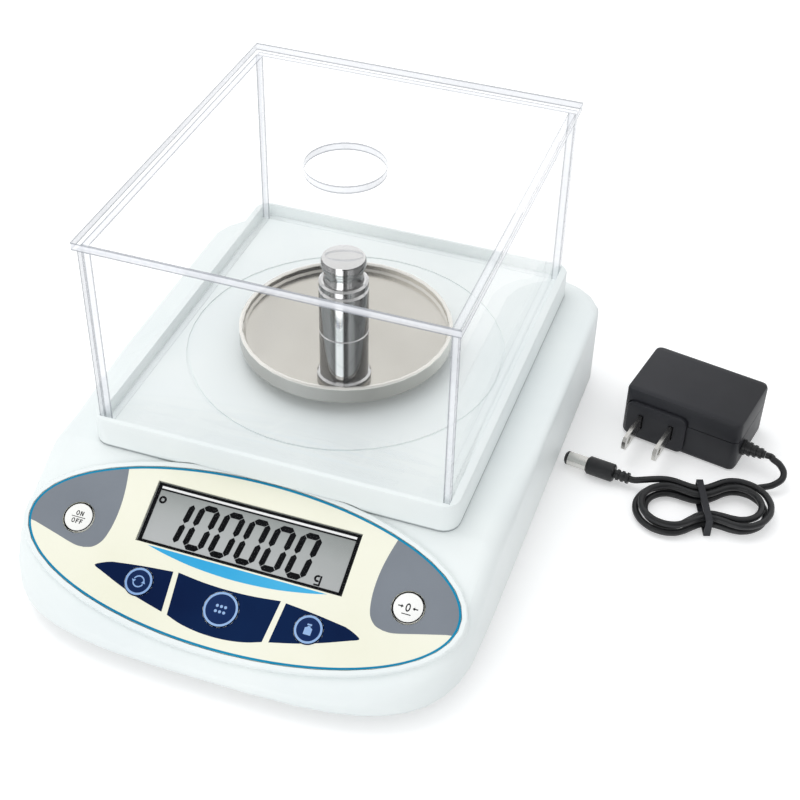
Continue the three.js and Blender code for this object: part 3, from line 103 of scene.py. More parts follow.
def new_object(name, data):
    """A new object of the scene, made of this data."""
    ob = bpy.data.objects.new(name, data)
    bpy.context.scene.collection.objects.link(ob)
    return ob


# Camera

CAMERA_FROM = (161.674, -396.055, 396.686)
CAMERA_TO = (45.33, -45.94, 88.54)
CAMERA_ROLL = math.radians(1.46)
CAMERA_LENS = 67.62
CAMERA_SENSOR = 36
CAMERA_NEAR, CAMERA_FAR = 0.01, 20  # metres


def camera():
    """The camera of the photo's view."""
    data = bpy.data.cameras.new("camera")
    data.sensor_width = CAMERA_SENSOR
    data.lens = CAMERA_LENS
    data.clip_start = CAMERA_NEAR
    data.clip_end = CAMERA_FAR
    forward = (Vector(CAMERA_TO) - Vector(CAMERA_FROM)).normalized()
    right = forward.cross(Vector((0, 0, 1))).normalized()
    up = right.cross(forward)
    across = right * math.cos(CAMERA_ROLL) + up * math.sin(CAMERA_ROLL)
    upward = -right * math.sin(CAMERA_ROLL) + up * math.cos(CAMERA_ROLL)
    turn = Matrix((across, upward, -forward)).transposed().to_4x4()
    ob = new_object("camera", data)
    ob.matrix_world = Matrix.Translation(Vector(CAMERA_FROM) * MM) @ turn
    bpy.context.scene.camera = ob


camera()


# Node trees

NOISE_ROUGHNESS = 0.55
NOISE_LOW, NOISE_HIGH = 0.3, 0.7
WHITE = (1, 1, 1, 1)


def linear(code):
    """A colour written as six hex digits, as the shader wants it: the sRGB curve undone."""
    values = [int(code[i : i + 2], 16) / 255 for i in (0, 2, 4)]
    return tuple(v / 12.92 if v <= 0.04045 else ((v + 0.055) / 1.055) ** 2.4 for v in values) + (1,)


def fill_ramp(ramp, stops):
    """Give a colour ramp its stops, which rise from the first to the last."""
    first, last = ramp.elements
    first.position, first.color = stops[0]
    last.position, last.color = stops[-1]
    for place, colour in stops[1:-1]:
        ramp.elements.new(place).color = colour


def feed(tree, socket, value):
    """Link an input to another node's output, or set it to a constant."""
    if isinstance(value, bpy.types.NodeSocket):
        tree.links.new(value, socket)
    else:
        socket.default_value = value


class Nodes:
    """A node tree with short calls."""

    def __init__(self, tree):
        self.tree = tree

    def add(self, kind, inputs=None, **settings):
        """A new node, with its inputs by name or number."""
        node = self.tree.nodes.new(kind)
        for key, value in settings.items():
            setattr(node, key, value)
        for key, value in (inputs or {}).items():
            feed(self.tree, node.inputs[key], value)
        return node

    def calc(self, operation, *values):
        """The outcome of a sum or another step of arithmetic."""
        return self.add("ShaderNodeMath", dict(enumerate(values)), operation=operation).outputs[0]

    def dot(self, first, second):
        """How far the first vector reaches along the second."""
        node = self.add("ShaderNodeVectorMath", {0: first, 1: second}, operation="DOT_PRODUCT")
        return node.outputs["Value"]

    def spread(self, value, low, high, start=NOISE_LOW, end=NOISE_HIGH):
        """value, from start to end, as a number from low to high."""
        inputs = {"Value": value, "From Min": start, "From Max": end, "To Min": low, "To Max": high}
        return self.add("ShaderNodeMapRange", inputs).outputs["Result"]

    def step(self, value, start, end):
        """value, from start to end, as a share from 0 to 1."""
        return self.spread(value, 0.0, 1.0, start, end)

    def ramp(self, value, stops):
        """The colour at value of a ramp through the stops."""
        node = self.add("ShaderNodeValToRGB", {"Fac": value})
        fill_ramp(node.color_ramp, stops)
        return node.outputs["Color"]

    def mix(self, share, first, second):
        """The first shader where share is 0 and the second where it is 1."""
        inputs = {0: share, 1: first.outputs[0], 2: second.outputs[0]}
        return self.add("ShaderNodeMixShader", inputs)


class Paint(Nodes):
    """A new material's node tree, round its Principled shader."""

    def __init__(self, name):
        self.material = bpy.data.materials.new(name)
        self.material.use_nodes = True
        super().__init__(self.material.node_tree)
        self.shader = self.tree.nodes["Principled BSDF"]
        self.output = self.tree.nodes["Material Output"]
        self.coords = self.add("ShaderNodeTexCoord").outputs["Object"]

    def give(self, name, value):
        """Give the Principled shader's input a node's output or a constant."""
        feed(self.tree, self.shader.inputs[name], value)

    def noise(self, scale, detail=3, stretch=None):
        """Clouds fixed to the piece, mostly from NOISE_LOW to NOISE_HIGH."""
        coords = self.coords
        if stretch:
            mapping = self.add("ShaderNodeMapping", {"Vector": coords, "Scale": stretch})
            coords = mapping.outputs["Vector"]
        inputs = {"Vector": coords, "Scale": scale, "Detail": detail, "Roughness": NOISE_ROUGHNESS}
        return self.add("ShaderNodeTexNoise", inputs).outputs["Fac"]

    def colours(self, value, stops):
        """The colour at value, from stops of a place and six hex digits."""
        return self.ramp(value, [(place, linear(code)) for place, code in stops])

    def two_tone(self, value, dark, light, start=NOISE_LOW, end=NOISE_HIGH):
        """dark where value is at start, and light where it is at end."""
        return self.colours(value, [(start, dark), (end, light)])

    def blend(self, share, first, second):
        """The first colour where share is 0 and the second where it is 1."""
        inputs = {0: share, 6: first, 7: second}
        return self.add("ShaderNodeMix", inputs, data_type="RGBA").outputs[2]

    def rough(self, scale, low, high):
        """Roughness that drifts between low and high, in clouds of this scale."""
        self.give("Roughness", self.spread(self.noise(scale), low, high))

    def relief(self, height, microns):
        """Bump the surface by height, which stands for so many microns at 1."""
        inputs = {"Height": height, "Distance": microns * MICRON, "Strength": 1}
        self.give("Normal", self.add("ShaderNodeBump", inputs).outputs["Normal"])

    def surface_is(self, shader):
        """Send this shader to the surface."""
        feed(self.tree, self.output.inputs["Surface"], shader.outputs[0])


# Moulded and sprayed materials

DRIFT_SCALE = 18
DRIFT_LOW, DRIFT_HIGH = 0.35, 0.65
GLOSS_SCALE = 54
SMOOTHER, ROUGHER = 0.04, 0.05
TRAY_FOOT = 40.3
# A painted shadow line along the tray's foot: the height it stays fully dark, where it fades out,
# and its colour
SEAM_SHADE_FULL = 0.3
SEAM_SHADE_REACH = 0.9
SEAM_SHADE_COLOUR = "8b9294"
INK_BUMP = 4


def surface(name, dark, light, roughness, grain=900, bump=20, metal=0.0, specular=0.5, shade_line_at=None):
    """Colour that drifts a little over the piece, and a fine grain, bump microns deep.
    The last argument is the height of a painted shadow line where the piece meets the one below."""
    n = Paint(name)
    drift = n.noise(DRIFT_SCALE, detail=4)
    colour = n.two_tone(drift, dark, light, DRIFT_LOW, DRIFT_HIGH)
    if shade_line_at:
        # A painted shadow line, darker near the foot where the piece meets the one below
        height = n.add("ShaderNodeSeparateXYZ", {0: n.coords}).outputs["Z"]
        above_shade_line = n.step(height, (shade_line_at + SEAM_SHADE_FULL) * MM, (shade_line_at + SEAM_SHADE_REACH) * MM)
        colour = n.blend(above_shade_line, linear(SEAM_SHADE_COLOUR), colour)
    n.give("Base Color", colour)
    n.rough(GLOSS_SCALE, roughness - SMOOTHER, roughness + ROUGHER)
    n.relief(n.noise(grain, detail=2), bump)
    n.give("Metallic", metal)
    n.give("Specular IOR Level", specular)
    return n.material


def ink(name, dark, light, roughness, specular=0.5):
    """Printing ink."""
    return surface("ink_" + name, dark, light, roughness, bump=INK_BUMP, specular=specular)


def cable_sheath(name, dark, light):
    """Soft plastic round a cable."""
    n = Paint(name)
    n.give("Base Color", n.two_tone(n.noise(scale=60), dark, light))
    n.rough(scale=300, low=0.34, high=0.48)
    n.relief(n.noise(scale=1500, detail=2), microns=30)
    return n.material


def circuit_board():
    """Green board with a pattern of tracks."""
    n = Paint("circuit_board")
    cells = {"Vector": n.coords, "Scale": 260}
    tracks = n.add("ShaderNodeTexVoronoi", cells, distance="CHEBYCHEV").outputs["Distance"]
    n.give("Base Color", n.two_tone(tracks, "0d4a2c", "16683e", end=0.5))
    n.rough(scale=120, low=0.3, high=0.42)
    n.relief(tracks, microns=40)
    return n.material


# Clear sheets

GLANCE_POWER = 5.0
SMEAR_LOW, SMEAR_HIGH = 0.45, 0.8
SMEAR_ROUGHNESS = 0.03
SHEET_LEAST = 0.02
WINDOW_LEAST = 0.001
GLANCE_RISE = 0.5
EDGE_CLOUD = 0.62
EDGE_TURN = 0.7
# The painted shade line along each arris: its width, how solid it is and its colour
ARRIS = 0.7
ARRIS_CLOUD = 0.8
ARRIS_SHADE_COLOUR = "9da1a8"


def sheet_shine(n, polish, least):
    """See-through sheet that mirrors a little of what is round it, more at a glancing angle."""
    clear = n.add("ShaderNodeBsdfTransparent", {"Color": WHITE})
    mirror = n.add("ShaderNodeBsdfGlossy", {"Color": WHITE, "Roughness": polish})
    facing = n.add("ShaderNodeLayerWeight", {"Blend": 0.5}).outputs["Facing"]
    steep = n.calc("POWER", facing, GLANCE_POWER)
    return n.mix(n.calc("MULTIPLY_ADD", steep, GLANCE_RISE, least), clear, mirror)


def acrylic(node, thin_axis):
    """Clear cast sheet. Its sawn edges, across thin_axis, are pale, with a painted shade line
    along each arris."""
    n = Paint("clear_" + node)
    smear = n.noise(scale=26, detail=4, stretch=(1, 1, 0.35))
    polish = n.spread(smear, 0.0, SMEAR_ROUGHNESS, SMEAR_LOW, SMEAR_HIGH)
    sheet = sheet_shine(n, polish, SHEET_LEAST)
    normal = n.add("ShaderNodeNewGeometry").outputs["True Normal"]
    own_normal = n.add(
        "ShaderNodeVectorTransform",
        {0: normal},
        vector_type="NORMAL",
        convert_from="WORLD",
        convert_to="OBJECT",
    )
    across = n.calc("ABSOLUTE", n.dot(own_normal.outputs[0], thin_axis))
    low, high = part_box(node)
    axis = thin_axis.index(1)
    middle = (low[axis] + high[axis]) / 2
    half = (high[axis] - low[axis]) / 2
    off_middle = n.calc("ABSOLUTE", n.calc("SUBTRACT", n.dot(n.coords, thin_axis), middle))
    # A painted shade line along each arris
    line = n.step(off_middle, half - ARRIS * MM, half - ARRIS / 2 * MM)
    cloud = n.spread(line, EDGE_CLOUD, ARRIS_CLOUD, 0.0, 1.0)
    edge = n.calc("MULTIPLY", cloud, n.spread(across, 1.0, 0.0, 0.0, EDGE_TURN))
    pale = n.two_tone(n.noise(scale=60), "eceef4", "f9faff")
    n.give("Base Color", n.blend(line, pale, linear(ARRIS_SHADE_COLOUR)))
    n.rough(scale=400, low=0.2, high=0.4)
    n.surface_is(n.mix(edge, sheet, n.shader))
    return n.material


def window_pane():
    """Thin clear window over the display, seen through without bending."""
    n = Paint("window_pane")
    polish = n.spread(n.noise(scale=40), low=0.03, high=0.09)
    n.surface_is(sheet_shine(n, polish, WINDOW_LEAST))
    n.tree.nodes.remove(n.shader)
    return n.material


# Turned and plated metal. A face is level or upright by how far its normal points up.

LEVEL_FROM, LEVEL_TO = 0.35, 0.8
STEEL_BUMP = 0.6
STEEL_DRIFT = 0.015
# A painted highlight on the pan's rim: its blend, its colour and how metallic it is
HIGHLIGHT_BLEND = 0.5
HIGHLIGHT_COLOUR = "f0eee8"
HIGHLIGHT_METAL = 0.72
PAN_CENTRE = (0, 24.25, 0)
PAN_RINGS = 2600
# The height above which the pan's rim carries its painted highlight
PAN_HIGHLIGHT_FROM = 58.3

# Painted reflections on the pan's upright sides: colour at each share of a turn from the x axis

PAN_PAINTED_REFLECTIONS = [
    (0.0, "dedcd6"),
    (0.22, "eeece6"),
    (0.28, "5e5b56"),
    (0.4, "504d49"),
    (0.46, "7d7b77"),
    (0.55, "bab9b5"),
    (0.67, "b4b3af"),
    (0.73, "bab9b6"),
    (0.84, "9c9b97"),
    (0.94, "b2b1ac"),
    (1.0, "dedcd6"),
]

# Painted reflections on the weight's upright sides: the colour at so many degrees from
# WEIGHT_FACING, over half a turn

WEIGHT_CENTRE = (9.2, -1.85, 0)
WEIGHT_RINGS = 1500
WEIGHT_FACING = -68.8
WEIGHT_PAINTED_REFLECTIONS = [
    (-77, "3a3a3a"),
    (-60, "6c6c6c"),
    (-34, "8a8a8a"),
    (-22, "5c5c5c"),
    (-17, "ffffff"),
    (-4, "ffffff"),
    (0, "2c2c2c"),
    (7, "3c3c3c"),
    (12, "8c8c8c"),
    (22, "7c7c7c"),
    (28, "505050"),
    (70, "5e5e5e"),
    (80, "303030"),
]

PLUG_TIP_FROM = 24.9
PLUG_TIP_COLOUR = "141417"


def weight_painted_reflections():
    """Painted reflection streaks of the weight's sides, repeated round it, as shares of a turn."""
    stops = []
    for repeat in (0, 180):
        for degrees, colour in WEIGHT_PAINTED_REFLECTIONS:
            stops.append((((degrees + WEIGHT_FACING + repeat) / 360) % 1, colour))
    return sorted(stops)


def turned_steel(name, dark, light, roughness, centre, painted_reflections, rings, highlight_from=None):
    """Bright turned metal: fine rings round the vertical axis through centre. Its upright sides
    carry painted reflections, streaks whose colour is given at each share of a turn. Above the
    height in the last argument it carries a painted highlight."""
    n = Paint(name)
    inputs = {0: n.coords, 1: Vector(centre) * MM}
    shift = n.add("ShaderNodeVectorMath", inputs, operation="SUBTRACT").outputs[0]
    x, y, z = n.add("ShaderNodeSeparateXYZ", {0: shift}).outputs
    flat = n.add("ShaderNodeCombineXYZ", {"X": x, "Y": y}).outputs[0]
    radius = n.add("ShaderNodeVectorMath", {0: flat}, operation="LENGTH").outputs["Value"]
    line = n.add("ShaderNodeCombineXYZ", {"X": radius, "Y": z}).outputs[0]
    inputs = {"Vector": line, "Scale": rings, "Detail": 3}
    brushed = n.add("ShaderNodeTexNoise", inputs).outputs["Fac"]
    face = n.two_tone(n.noise(scale=30), dark, light)
    # The upright sides take painted reflections that change round the turn
    turn = n.calc("DIVIDE", n.calc("ARCTAN2", y, x), 2 * math.pi)
    side = n.colours(n.calc("FLOORED_MODULO", turn, 1.0), painted_reflections)
    normal = n.add("ShaderNodeNewGeometry").outputs["Normal"]
    upward = n.calc("ABSOLUTE", n.add("ShaderNodeSeparateXYZ", {0: normal}).outputs["Z"])
    colour = n.blend(n.step(upward, LEVEL_FROM, LEVEL_TO), side, face)
    n.give("Metallic", 1)
    # A painted highlight above the given height: paler and less metallic
    if highlight_from:
        highlit = n.step(z, (highlight_from - HIGHLIGHT_BLEND) * MM, highlight_from * MM)
        colour = n.blend(highlit, colour, linear(HIGHLIGHT_COLOUR))
        n.give("Metallic", n.spread(highlit, 1.0, HIGHLIGHT_METAL, 0.0, 1.0))
    n.give("Base Color", colour)
    n.give("Roughness", n.spread(brushed, roughness - STEEL_DRIFT, roughness + STEEL_DRIFT))
    n.relief(brushed, STEEL_BUMP)
    return n.material


def plug_plating():
    """Bright plated barrel with its black insulating tip."""
    n = Paint("plug_plating")
    tip = placed(PLUG, (PLUG_TIP_FROM, 0, 0)) * MM
    along = (placed(PLUG, (1, 0, 0)) - placed(PLUG, (0, 0, 0))).normalized()
    shift = n.add("ShaderNodeVectorMath", {0: n.coords, 1: tip}, operation="SUBTRACT")
    black = n.calc("GREATER_THAN", n.dot(shift.outputs[0], along), 0.0)
    plated = n.two_tone(n.noise(scale=60), "c9c8c4", "dddcd8")
    n.give("Base Color", n.blend(black, plated, linear(PLUG_TIP_COLOUR)))
    n.rough(scale=200, low=0.18, high=0.26)
    n.give("Metallic", n.calc("SUBTRACT", 1.0, black))
    return n.material


# The display's glass

LCD_STOPS = [(0.0, "b5b7b7"), (0.55, "a9acab"), (1.0, "8d918f")]
LCD_DRIFT = 0.12
LCD_SPECULAR = 0.1


def lcd_glass():
    """Grey display glass, a little darker towards its top."""
    n = Paint("lcd_glass")
    up = Vector((0, math.cos(PANEL_SLOPE), math.sin(PANEL_SLOPE)))
    middle = up.dot(Vector(PANEL_ORIGIN)) + WINDOW_CENTRE_V
    ends = (middle - WINDOW_HEIGHT / 2) * MM, (middle + WINDOW_HEIGHT / 2) * MM
    height = n.step(n.dot(n.coords, up), *ends)
    drift = n.spread(n.noise(scale=26, detail=4), -LCD_DRIFT, LCD_DRIFT)
    n.give("Base Color", n.colours(n.calc("ADD", height, drift), LCD_STOPS))
    n.rough(scale=78, low=0.3, high=0.39)
    n.relief(n.noise(scale=900, detail=2), microns=2)
    n.give("Specular IOR Level", LCD_SPECULAR)
    return n.material


# The materials by slot, the tray's own one, and the inks

MATERIALS = {
    "housing": surface("white_housing", "e9efef", "eff4f3", 0.4, bump=12),
    "panel_film": surface(
        "cream_film", "eeedd9", "f3f2e1", 0.4, grain=1500, bump=6, specular=0.2
    ),
    "key_white": surface("white_key", "f0f0ec", "f8f8f5", 0.34, bump=6),
    "key_navy": surface("navy_key", "0d2450", "112c5c", 0.4, bump=6, specular=0.1),
    "lcd": lcd_glass(),
    "board": circuit_board(),
    "black_plastic": surface(
        "black_plastic", "212226", "2a2b30", 0.44, grain=1100, bump=10, specular=0.3
    ),
    "black_rubber": cable_sheath("black_sheath", "0e0f11", "18191c"),
    # Turned metal whose sides carry painted reflections; the pan's rim carries a painted highlight
    "pan_steel": turned_steel(
        "pan_steel", "c9c6be", "d4d1ca", 0.24, PAN_CENTRE, PAN_PAINTED_REFLECTIONS, PAN_RINGS, PAN_HIGHLIGHT_FROM
    ),
    "weight_chrome": turned_steel(
        "weight_chrome", "d4d4d4", "e2e2e2", 0.09, WEIGHT_CENTRE, weight_painted_reflections(), WEIGHT_RINGS
    ),
    "screw_steel": surface("screw_steel", "8f9192", "b0b2b3", 0.3, grain=1800, metal=1.0),
    "cast_aluminium": surface(
        "cast_aluminium", "a9abad", "c3c5c6", 0.42, grain=500, bump=60, metal=1.0
    ),
    "nickel": surface("nickel_plate", "c9c8c4", "dddcd8", 0.2, grain=1400, bump=8, metal=1.0),
    "cable_grey": cable_sheath("grey_ribbon", "8b8e92", "a0a3a6"),
}
# The tray's white, with a painted shadow line along its foot
TRAY_WHITE = surface("white_tray", "e9efef", "eff4f3", 0.4, bump=12, shade_line_at=TRAY_FOOT)
INK = {
    "teal": ink("teal", "0f7ca6", "178bb2", 0.4, specular=0.1),
    "grey": ink("grey", "787e86", "828890", 0.42, specular=0.12),
    "navy": ink("navy", "091b40", "0e254c", 0.44, specular=0.04),
    "blue": ink("blue", "2fa3d8", "48b2e0", 0.4, specular=0.15),
    "pale": ink("pale_blue", "86a9d8", "98b8e2", 0.36),
    "black": ink("black", "0a0b0d", "101114", 0.42, specular=0.06),
    "silver": ink("silver", "e2e2e2", "f4f4f4", 0.3),
}


# Printing on the panel. A ring is a closed line of u and v.

PATH_STEPS = 8
ELLIPSE_STEPS = 180


def panel_point(u, v, w):
    """The point of the part's frame, in metres, that stands at u, v and w."""
    x, y, z = PANEL_ORIGIN
    c, s = math.cos(PANEL_SLOPE), math.sin(PANEL_SLOPE)
    return Vector((x + u, y + v * c - w * s, z + v * s + w * c)) * MM


def printed(name, rings, colour, body="housing", w=FILM_TOP, slot="panel_film", depth=PRINT_DEPTH):
    """A thin printed area on the panel. Rings inside another are its holes."""
    curve = bpy.data.curves.new(name, "CURVE")
    curve.dimensions = "2D"
    curve.fill_mode = "BOTH"
    curve.extrude = depth / 2 * MM
    for ring in rings:
        spline = curve.splines.new("POLY")
        spline.points.add(len(ring) - 1)
        for point, (u, v) in zip(spline.points, ring):
            point.co = (u * MM, v * MM, 0, 1)
        spline.use_cyclic_u = True
    flat = new_object(name + "_flat", curve)
    bpy.context.view_layer.update()
    evaluated = flat.evaluated_get(bpy.context.evaluated_depsgraph_get())
    mesh = bpy.data.meshes.new_from_object(evaluated)
    bpy.data.objects.remove(flat)
    tilt = Matrix.Rotation(PANEL_SLOPE, 4, "X")
    mesh.transform(Matrix.Translation(panel_point(0, 0, w + depth / 2)) @ tilt)
    mesh.materials.clear()
    mesh.materials.append(INK[colour])
    ob = new_object(name, mesh)
    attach(ob, body)


def circle(u, v, radius, steps=64):
    """A round ring about u, v."""
    angles = [2 * math.pi * i / steps for i in range(steps)]
    return [(u + radius * math.cos(a), v + radius * math.sin(a)) for a in angles]


def film_ellipse(inset):
    """The film's outline, moved in by inset."""
    a, b = FILM_HALF_WIDTH - inset, FILM_HALF_HEIGHT - inset
    angles = [2 * math.pi * i / ELLIPSE_STEPS for i in range(ELLIPSE_STEPS)]
    return [(a * math.cos(t), FILM_CENTRE_V + b * math.sin(t)) for t in angles]


def spline_value(a, b, c, d, t):
    """Where a smooth line through four values is, between the second, 0, and the third, 1."""
    bend = (2 * a - 5 * b + 4 * c - d) * t**2
    return 0.5 * (2 * b + (c - a) * t + bend + (3 * b - a - 3 * c + d) * t**3)


def smooth_path(*points):
    """A smooth line through the points."""
    before = tuple(2 * a - b for a, b in zip(points[0], points[1]))
    after = tuple(2 * a - b for a, b in zip(points[-1], points[-2]))
    ends = [before, *points, after]
    line = []
    for four in zip(ends, ends[1:], ends[2:], ends[3:]):
        for i in range(PATH_STEPS):
            line.append(tuple(spline_value(*values, i / PATH_STEPS) for values in zip(*four)))
    return line + [points[-1]]


def key_hole(key):
    """The ring that the key stands in."""
    u, v, radius = KEYS[key]
    return circle(u, v, radius + KEY_GAP)


# The film's print. Its two sides, LEFT and RIGHT, mirror each other.

LEFT, RIGHT = -1, 1
BORDER_INSET = 0.05
BORDER_WIDTH = 0.85
PATCH_TOP_U = 50
PATCH_TIP = (76.2, -33.5)
PATCH_EDGE_STEPS = 40


def mirrored(ring, side):
    """The ring on the panel's other side with LEFT, and as it is with RIGHT."""
    return [(side * u, v) for u, v in ring]


def grey_patch(side):
    """The grey end of the film, from its inner edge round to the border."""
    inner = smooth_path(
        (50, -6.8),
        (48.6, -13),
        (47.7, -19),
        (47.5, -25),
        (48, -30.3),
        (49.2, -34.4),
        (51.6, -37),
        (54.6, -38),
    )
    lower = smooth_path((54.6, -38), (58.5, -37.9), (67, -35.8), PATCH_TIP)[1:-1]
    a, b = FILM_HALF_WIDTH - BORDER_WIDTH, FILM_HALF_HEIGHT - BORDER_WIDTH
    inner[0] = (PATCH_TOP_U, FILM_CENTRE_V + b * math.sqrt(1 - (PATCH_TOP_U / a) ** 2))
    start = math.asin((PATCH_TIP[1] - FILM_CENTRE_V) / b)
    end = math.acos(PATCH_TOP_U / a)
    angles = [start + (end - start) * i / PATCH_EDGE_STEPS for i in range(PATCH_EDGE_STEPS)]
    outer = [(a * math.cos(t), FILM_CENTRE_V + b * math.sin(t)) for t in angles]
    return mirrored(inner + lower + outer, side)


def navy_side(side):
    """The outer part of the navy band below the display."""
    top = smooth_path((20.6, -37.9), (32, -38.9), (42.5, -40.2))
    tip = smooth_path((42.5, -40.2), (45.4, -41.2), (48.2, -42.9), (44.8, -44.4))[1:]
    bottom = smooth_path((44.8, -44.4), (37, -47.3), (29, -49.8), (19.4, -52.1))[1:]
    return mirrored(top + tip + bottom, side)


def navy_middle():
    """The middle part of the navy band."""
    top = smooth_path((-18.7, -37.7), (-9, -38.7), (0, -39), (9, -38.7), (18.7, -37.7))
    bottom = smooth_path(
        (17.2, -52.6),
        (12, -54.2),
        (6, -55.2),
        (0, -55.5),
        (-6, -55.2),
        (-12, -54.2),
        (-17.2, -52.6),
    )
    return top + bottom


def lens_below_window():
    """The blue lens shape under the display."""
    bottom = smooth_path(
        (33, -31.3),
        (25, -33),
        (14, -34.6),
        (0, -35.3),
        (-14, -34.6),
        (-25, -33),
        (-33, -31.3),
    )
    return [(-33, -31.3), (33, -31.3)] + bottom[1:-1]


printed("print_border", [film_ellipse(BORDER_INSET), film_ellipse(BORDER_WIDTH)], "teal")
printed("print_grey_left", [grey_patch(LEFT), key_hole("power_key")], "grey")
printed("print_grey_right", [grey_patch(RIGHT), key_hole("zero_key")], "grey")
printed("print_band_left", [navy_side(LEFT), key_hole("unit_key")], "navy")
printed("print_band_middle", [navy_middle(), key_hole("count_key")], "navy")
printed("print_band_right", [navy_side(RIGHT), key_hole("calibrate_key")], "navy")
printed("print_lens", [lens_below_window()], "blue")


# Key faces. A legend's rings are given round the middle of its key.

RING_INSET = 0.05
WHITE_RING = 0.42
NAVY_RING = 0.75
STROKE = 0.45
LETTER_BAR = 0.34
LETTER_HALF = 0.85
LETTER_O_STEPS = 24
LETTER_O_HOLE = (0.52, 0.66)
LETTER_N_WIDTH = 1.2
LETTER_N_MITRE = 0.3
LETTER_F_WIDTH = 1.05
LETTER_F_ARM = 0.9
LETTER_F_ARM_LOW, LETTER_F_ARM_HIGH = -0.18, 0.14
ARROW_HALF = 0.95
ARROW_NECK = 0.15
ARROW_SHAFT = 0.19
ARROW_HEAD = 0.62


def stroke(points):
    """A line of the width STROKE, as a ring."""
    left, right = [], []
    last = len(points) - 1
    for i, point in enumerate(points):
        before, after = Vector(points[max(i - 1, 0)]), Vector(points[min(i + 1, last)])
        along = (after - before).normalized()
        side = Vector((-along.y, along.x)) * STROKE / 2
        left.append(tuple(Vector(point) + side))
        right.append(tuple(Vector(point) - side))
    return left + right[::-1]


def box_ring(u0, v0, u1, v1):
    """A rectangle between two corners, as a ring."""
    return [(u0, v0), (u1, v0), (u1, v1), (u0, v1)]


def moved(rings, u, v):
    """The rings, moved by u and v."""
    return [[(a + u, b + v) for a, b in ring] for ring in rings]


def arc(radius, start, end, steps):
    """Points round 0, 0 from start to end in degrees."""
    angles = [math.radians(start + (end - start) * i / steps) for i in range(steps + 1)]
    return [(radius * math.cos(a), radius * math.sin(a)) for a in angles]


def letter_o(u, width=1.25, height=1.75):
    """An O, or a nought, in the middle u."""
    turns = [2 * math.pi * i / LETTER_O_STEPS for i in range(LETTER_O_STEPS)]
    outer = [(u + width / 2 * math.cos(t), height / 2 * math.sin(t)) for t in turns]
    across, upright = LETTER_O_HOLE
    return [outer, [(u + (a - u) * across, b * upright) for a, b in outer]]


def letter_n(u):
    """An N in the middle u."""
    left, right = u - LETTER_N_WIDTH / 2, u + LETTER_N_WIDTH / 2
    inner_left, inner_right = left + LETTER_BAR, right - LETTER_BAR
    ring = [
        (left, -LETTER_HALF),
        (inner_left, -LETTER_HALF),
        (inner_left, LETTER_N_MITRE),
        (inner_right, -LETTER_HALF),
        (right, -LETTER_HALF),
        (right, LETTER_HALF),
        (inner_right, LETTER_HALF),
        (inner_right, -LETTER_N_MITRE),
        (inner_left, LETTER_HALF),
        (left, LETTER_HALF),
    ]
    return [ring]


def letter_f(u):
    """An F in the middle u."""
    left = u - LETTER_F_WIDTH / 2
    stem, right = left + LETTER_BAR, left + LETTER_F_WIDTH
    arm = left + LETTER_F_WIDTH * LETTER_F_ARM
    ring = [
        (left, -LETTER_HALF),
        (stem, -LETTER_HALF),
        (stem, LETTER_F_ARM_LOW),
        (arm, LETTER_F_ARM_LOW),
        (arm, LETTER_F_ARM_HIGH),
        (stem, LETTER_F_ARM_HIGH),
        (stem, LETTER_HALF - LETTER_BAR),
        (right, LETTER_HALF - LETTER_BAR),
        (right, LETTER_HALF),
        (left, LETTER_HALF),
    ]
    return [ring]


def arrow(u, direction):
    """An arrow in the middle u that points along u, or against it with -1."""
    tip, back = u + ARROW_HALF * direction, u - ARROW_HALF * direction
    neck = u + ARROW_NECK * direction
    ring = [
        (back, -ARROW_SHAFT),
        (neck, -ARROW_SHAFT),
        (neck, -ARROW_HEAD),
        (tip, 0),
        (neck, ARROW_HEAD),
        (neck, ARROW_SHAFT),
        (back, ARROW_SHAFT),
    ]
    return [ring]


def legend_power():
    """ON over OFF, with a bar between."""
    upper = moved(letter_o(-0.78) + letter_n(0.82), 0, 1.45)
    lower = moved(letter_o(-1.45) + letter_f(0.1) + letter_f(1.5), 0, -1.45)
    return upper + [box_ring(-2.6, -0.12, 2.6, 0.12)] + lower


def legend_zero():
    """A nought between two arrows, over a bar."""
    nought = letter_o(0, width=1.7, height=2.9)
    return arrow(-2.5, 1) + nought + arrow(2.5, -1) + [box_ring(-1.6, -2.5, 1.6, -2.2)]


def legend_unit():
    """Two arrows that chase each other round."""
    head = [(-0.75, 0), (0.75, 0), (0, 1.1)]
    upper = [stroke(arc(1.9, 20, 160, 16))] + moved([head], 1.8, -0.35)
    lower = [[(-a, -b) for a, b in ring] for ring in upper]
    return upper + lower


def legend_count():
    """Six dots."""
    return [circle(u, v, 0.52, 20) for v in (0.95, -0.95) for u in (-1.5, 0, 1.5)]


def legend_calibrate():
    """A weight with a knob."""
    body = [
        (-1.3, -1.9),
        (1.3, -1.9),
        (1.3, 0.4),
        (0.5, 0.8),
        (0.5, 1.15),
        (-0.5, 1.15),
        (-0.5, 0.8),
        (-1.3, 0.4),
    ]
    return [body, box_ring(-0.8, 1.35, 0.8, 1.9)]


LEGENDS = {
    "power_key": legend_power(),
    "zero_key": legend_zero(),
    "unit_key": legend_unit(),
    "count_key": legend_count(),
    "calibrate_key": legend_calibrate(),
}


def key_colour(key):
    """The ink on the key."""
    return "black" if key in WHITE_KEYS else "pale"


def key_faces():
    """A ring round each key's face, and its legend."""
    for key, (u, v, radius) in KEYS.items():
        outer = radius - RING_INSET
        inner = outer - (WHITE_RING if key in WHITE_KEYS else NAVY_RING)
        rings = [circle(u, v, outer), circle(u, v, inner)]
        printed("print_" + key + "_ring", rings, key_colour(key), key, KEY_TOP)
    for key, rings in LEGENDS.items():
        u, v, _ = KEYS[key]
        printed("print_" + key + "_legend", moved(rings, u, v), key_colour(key), key, KEY_TOP)


key_faces()


# The display, under its window

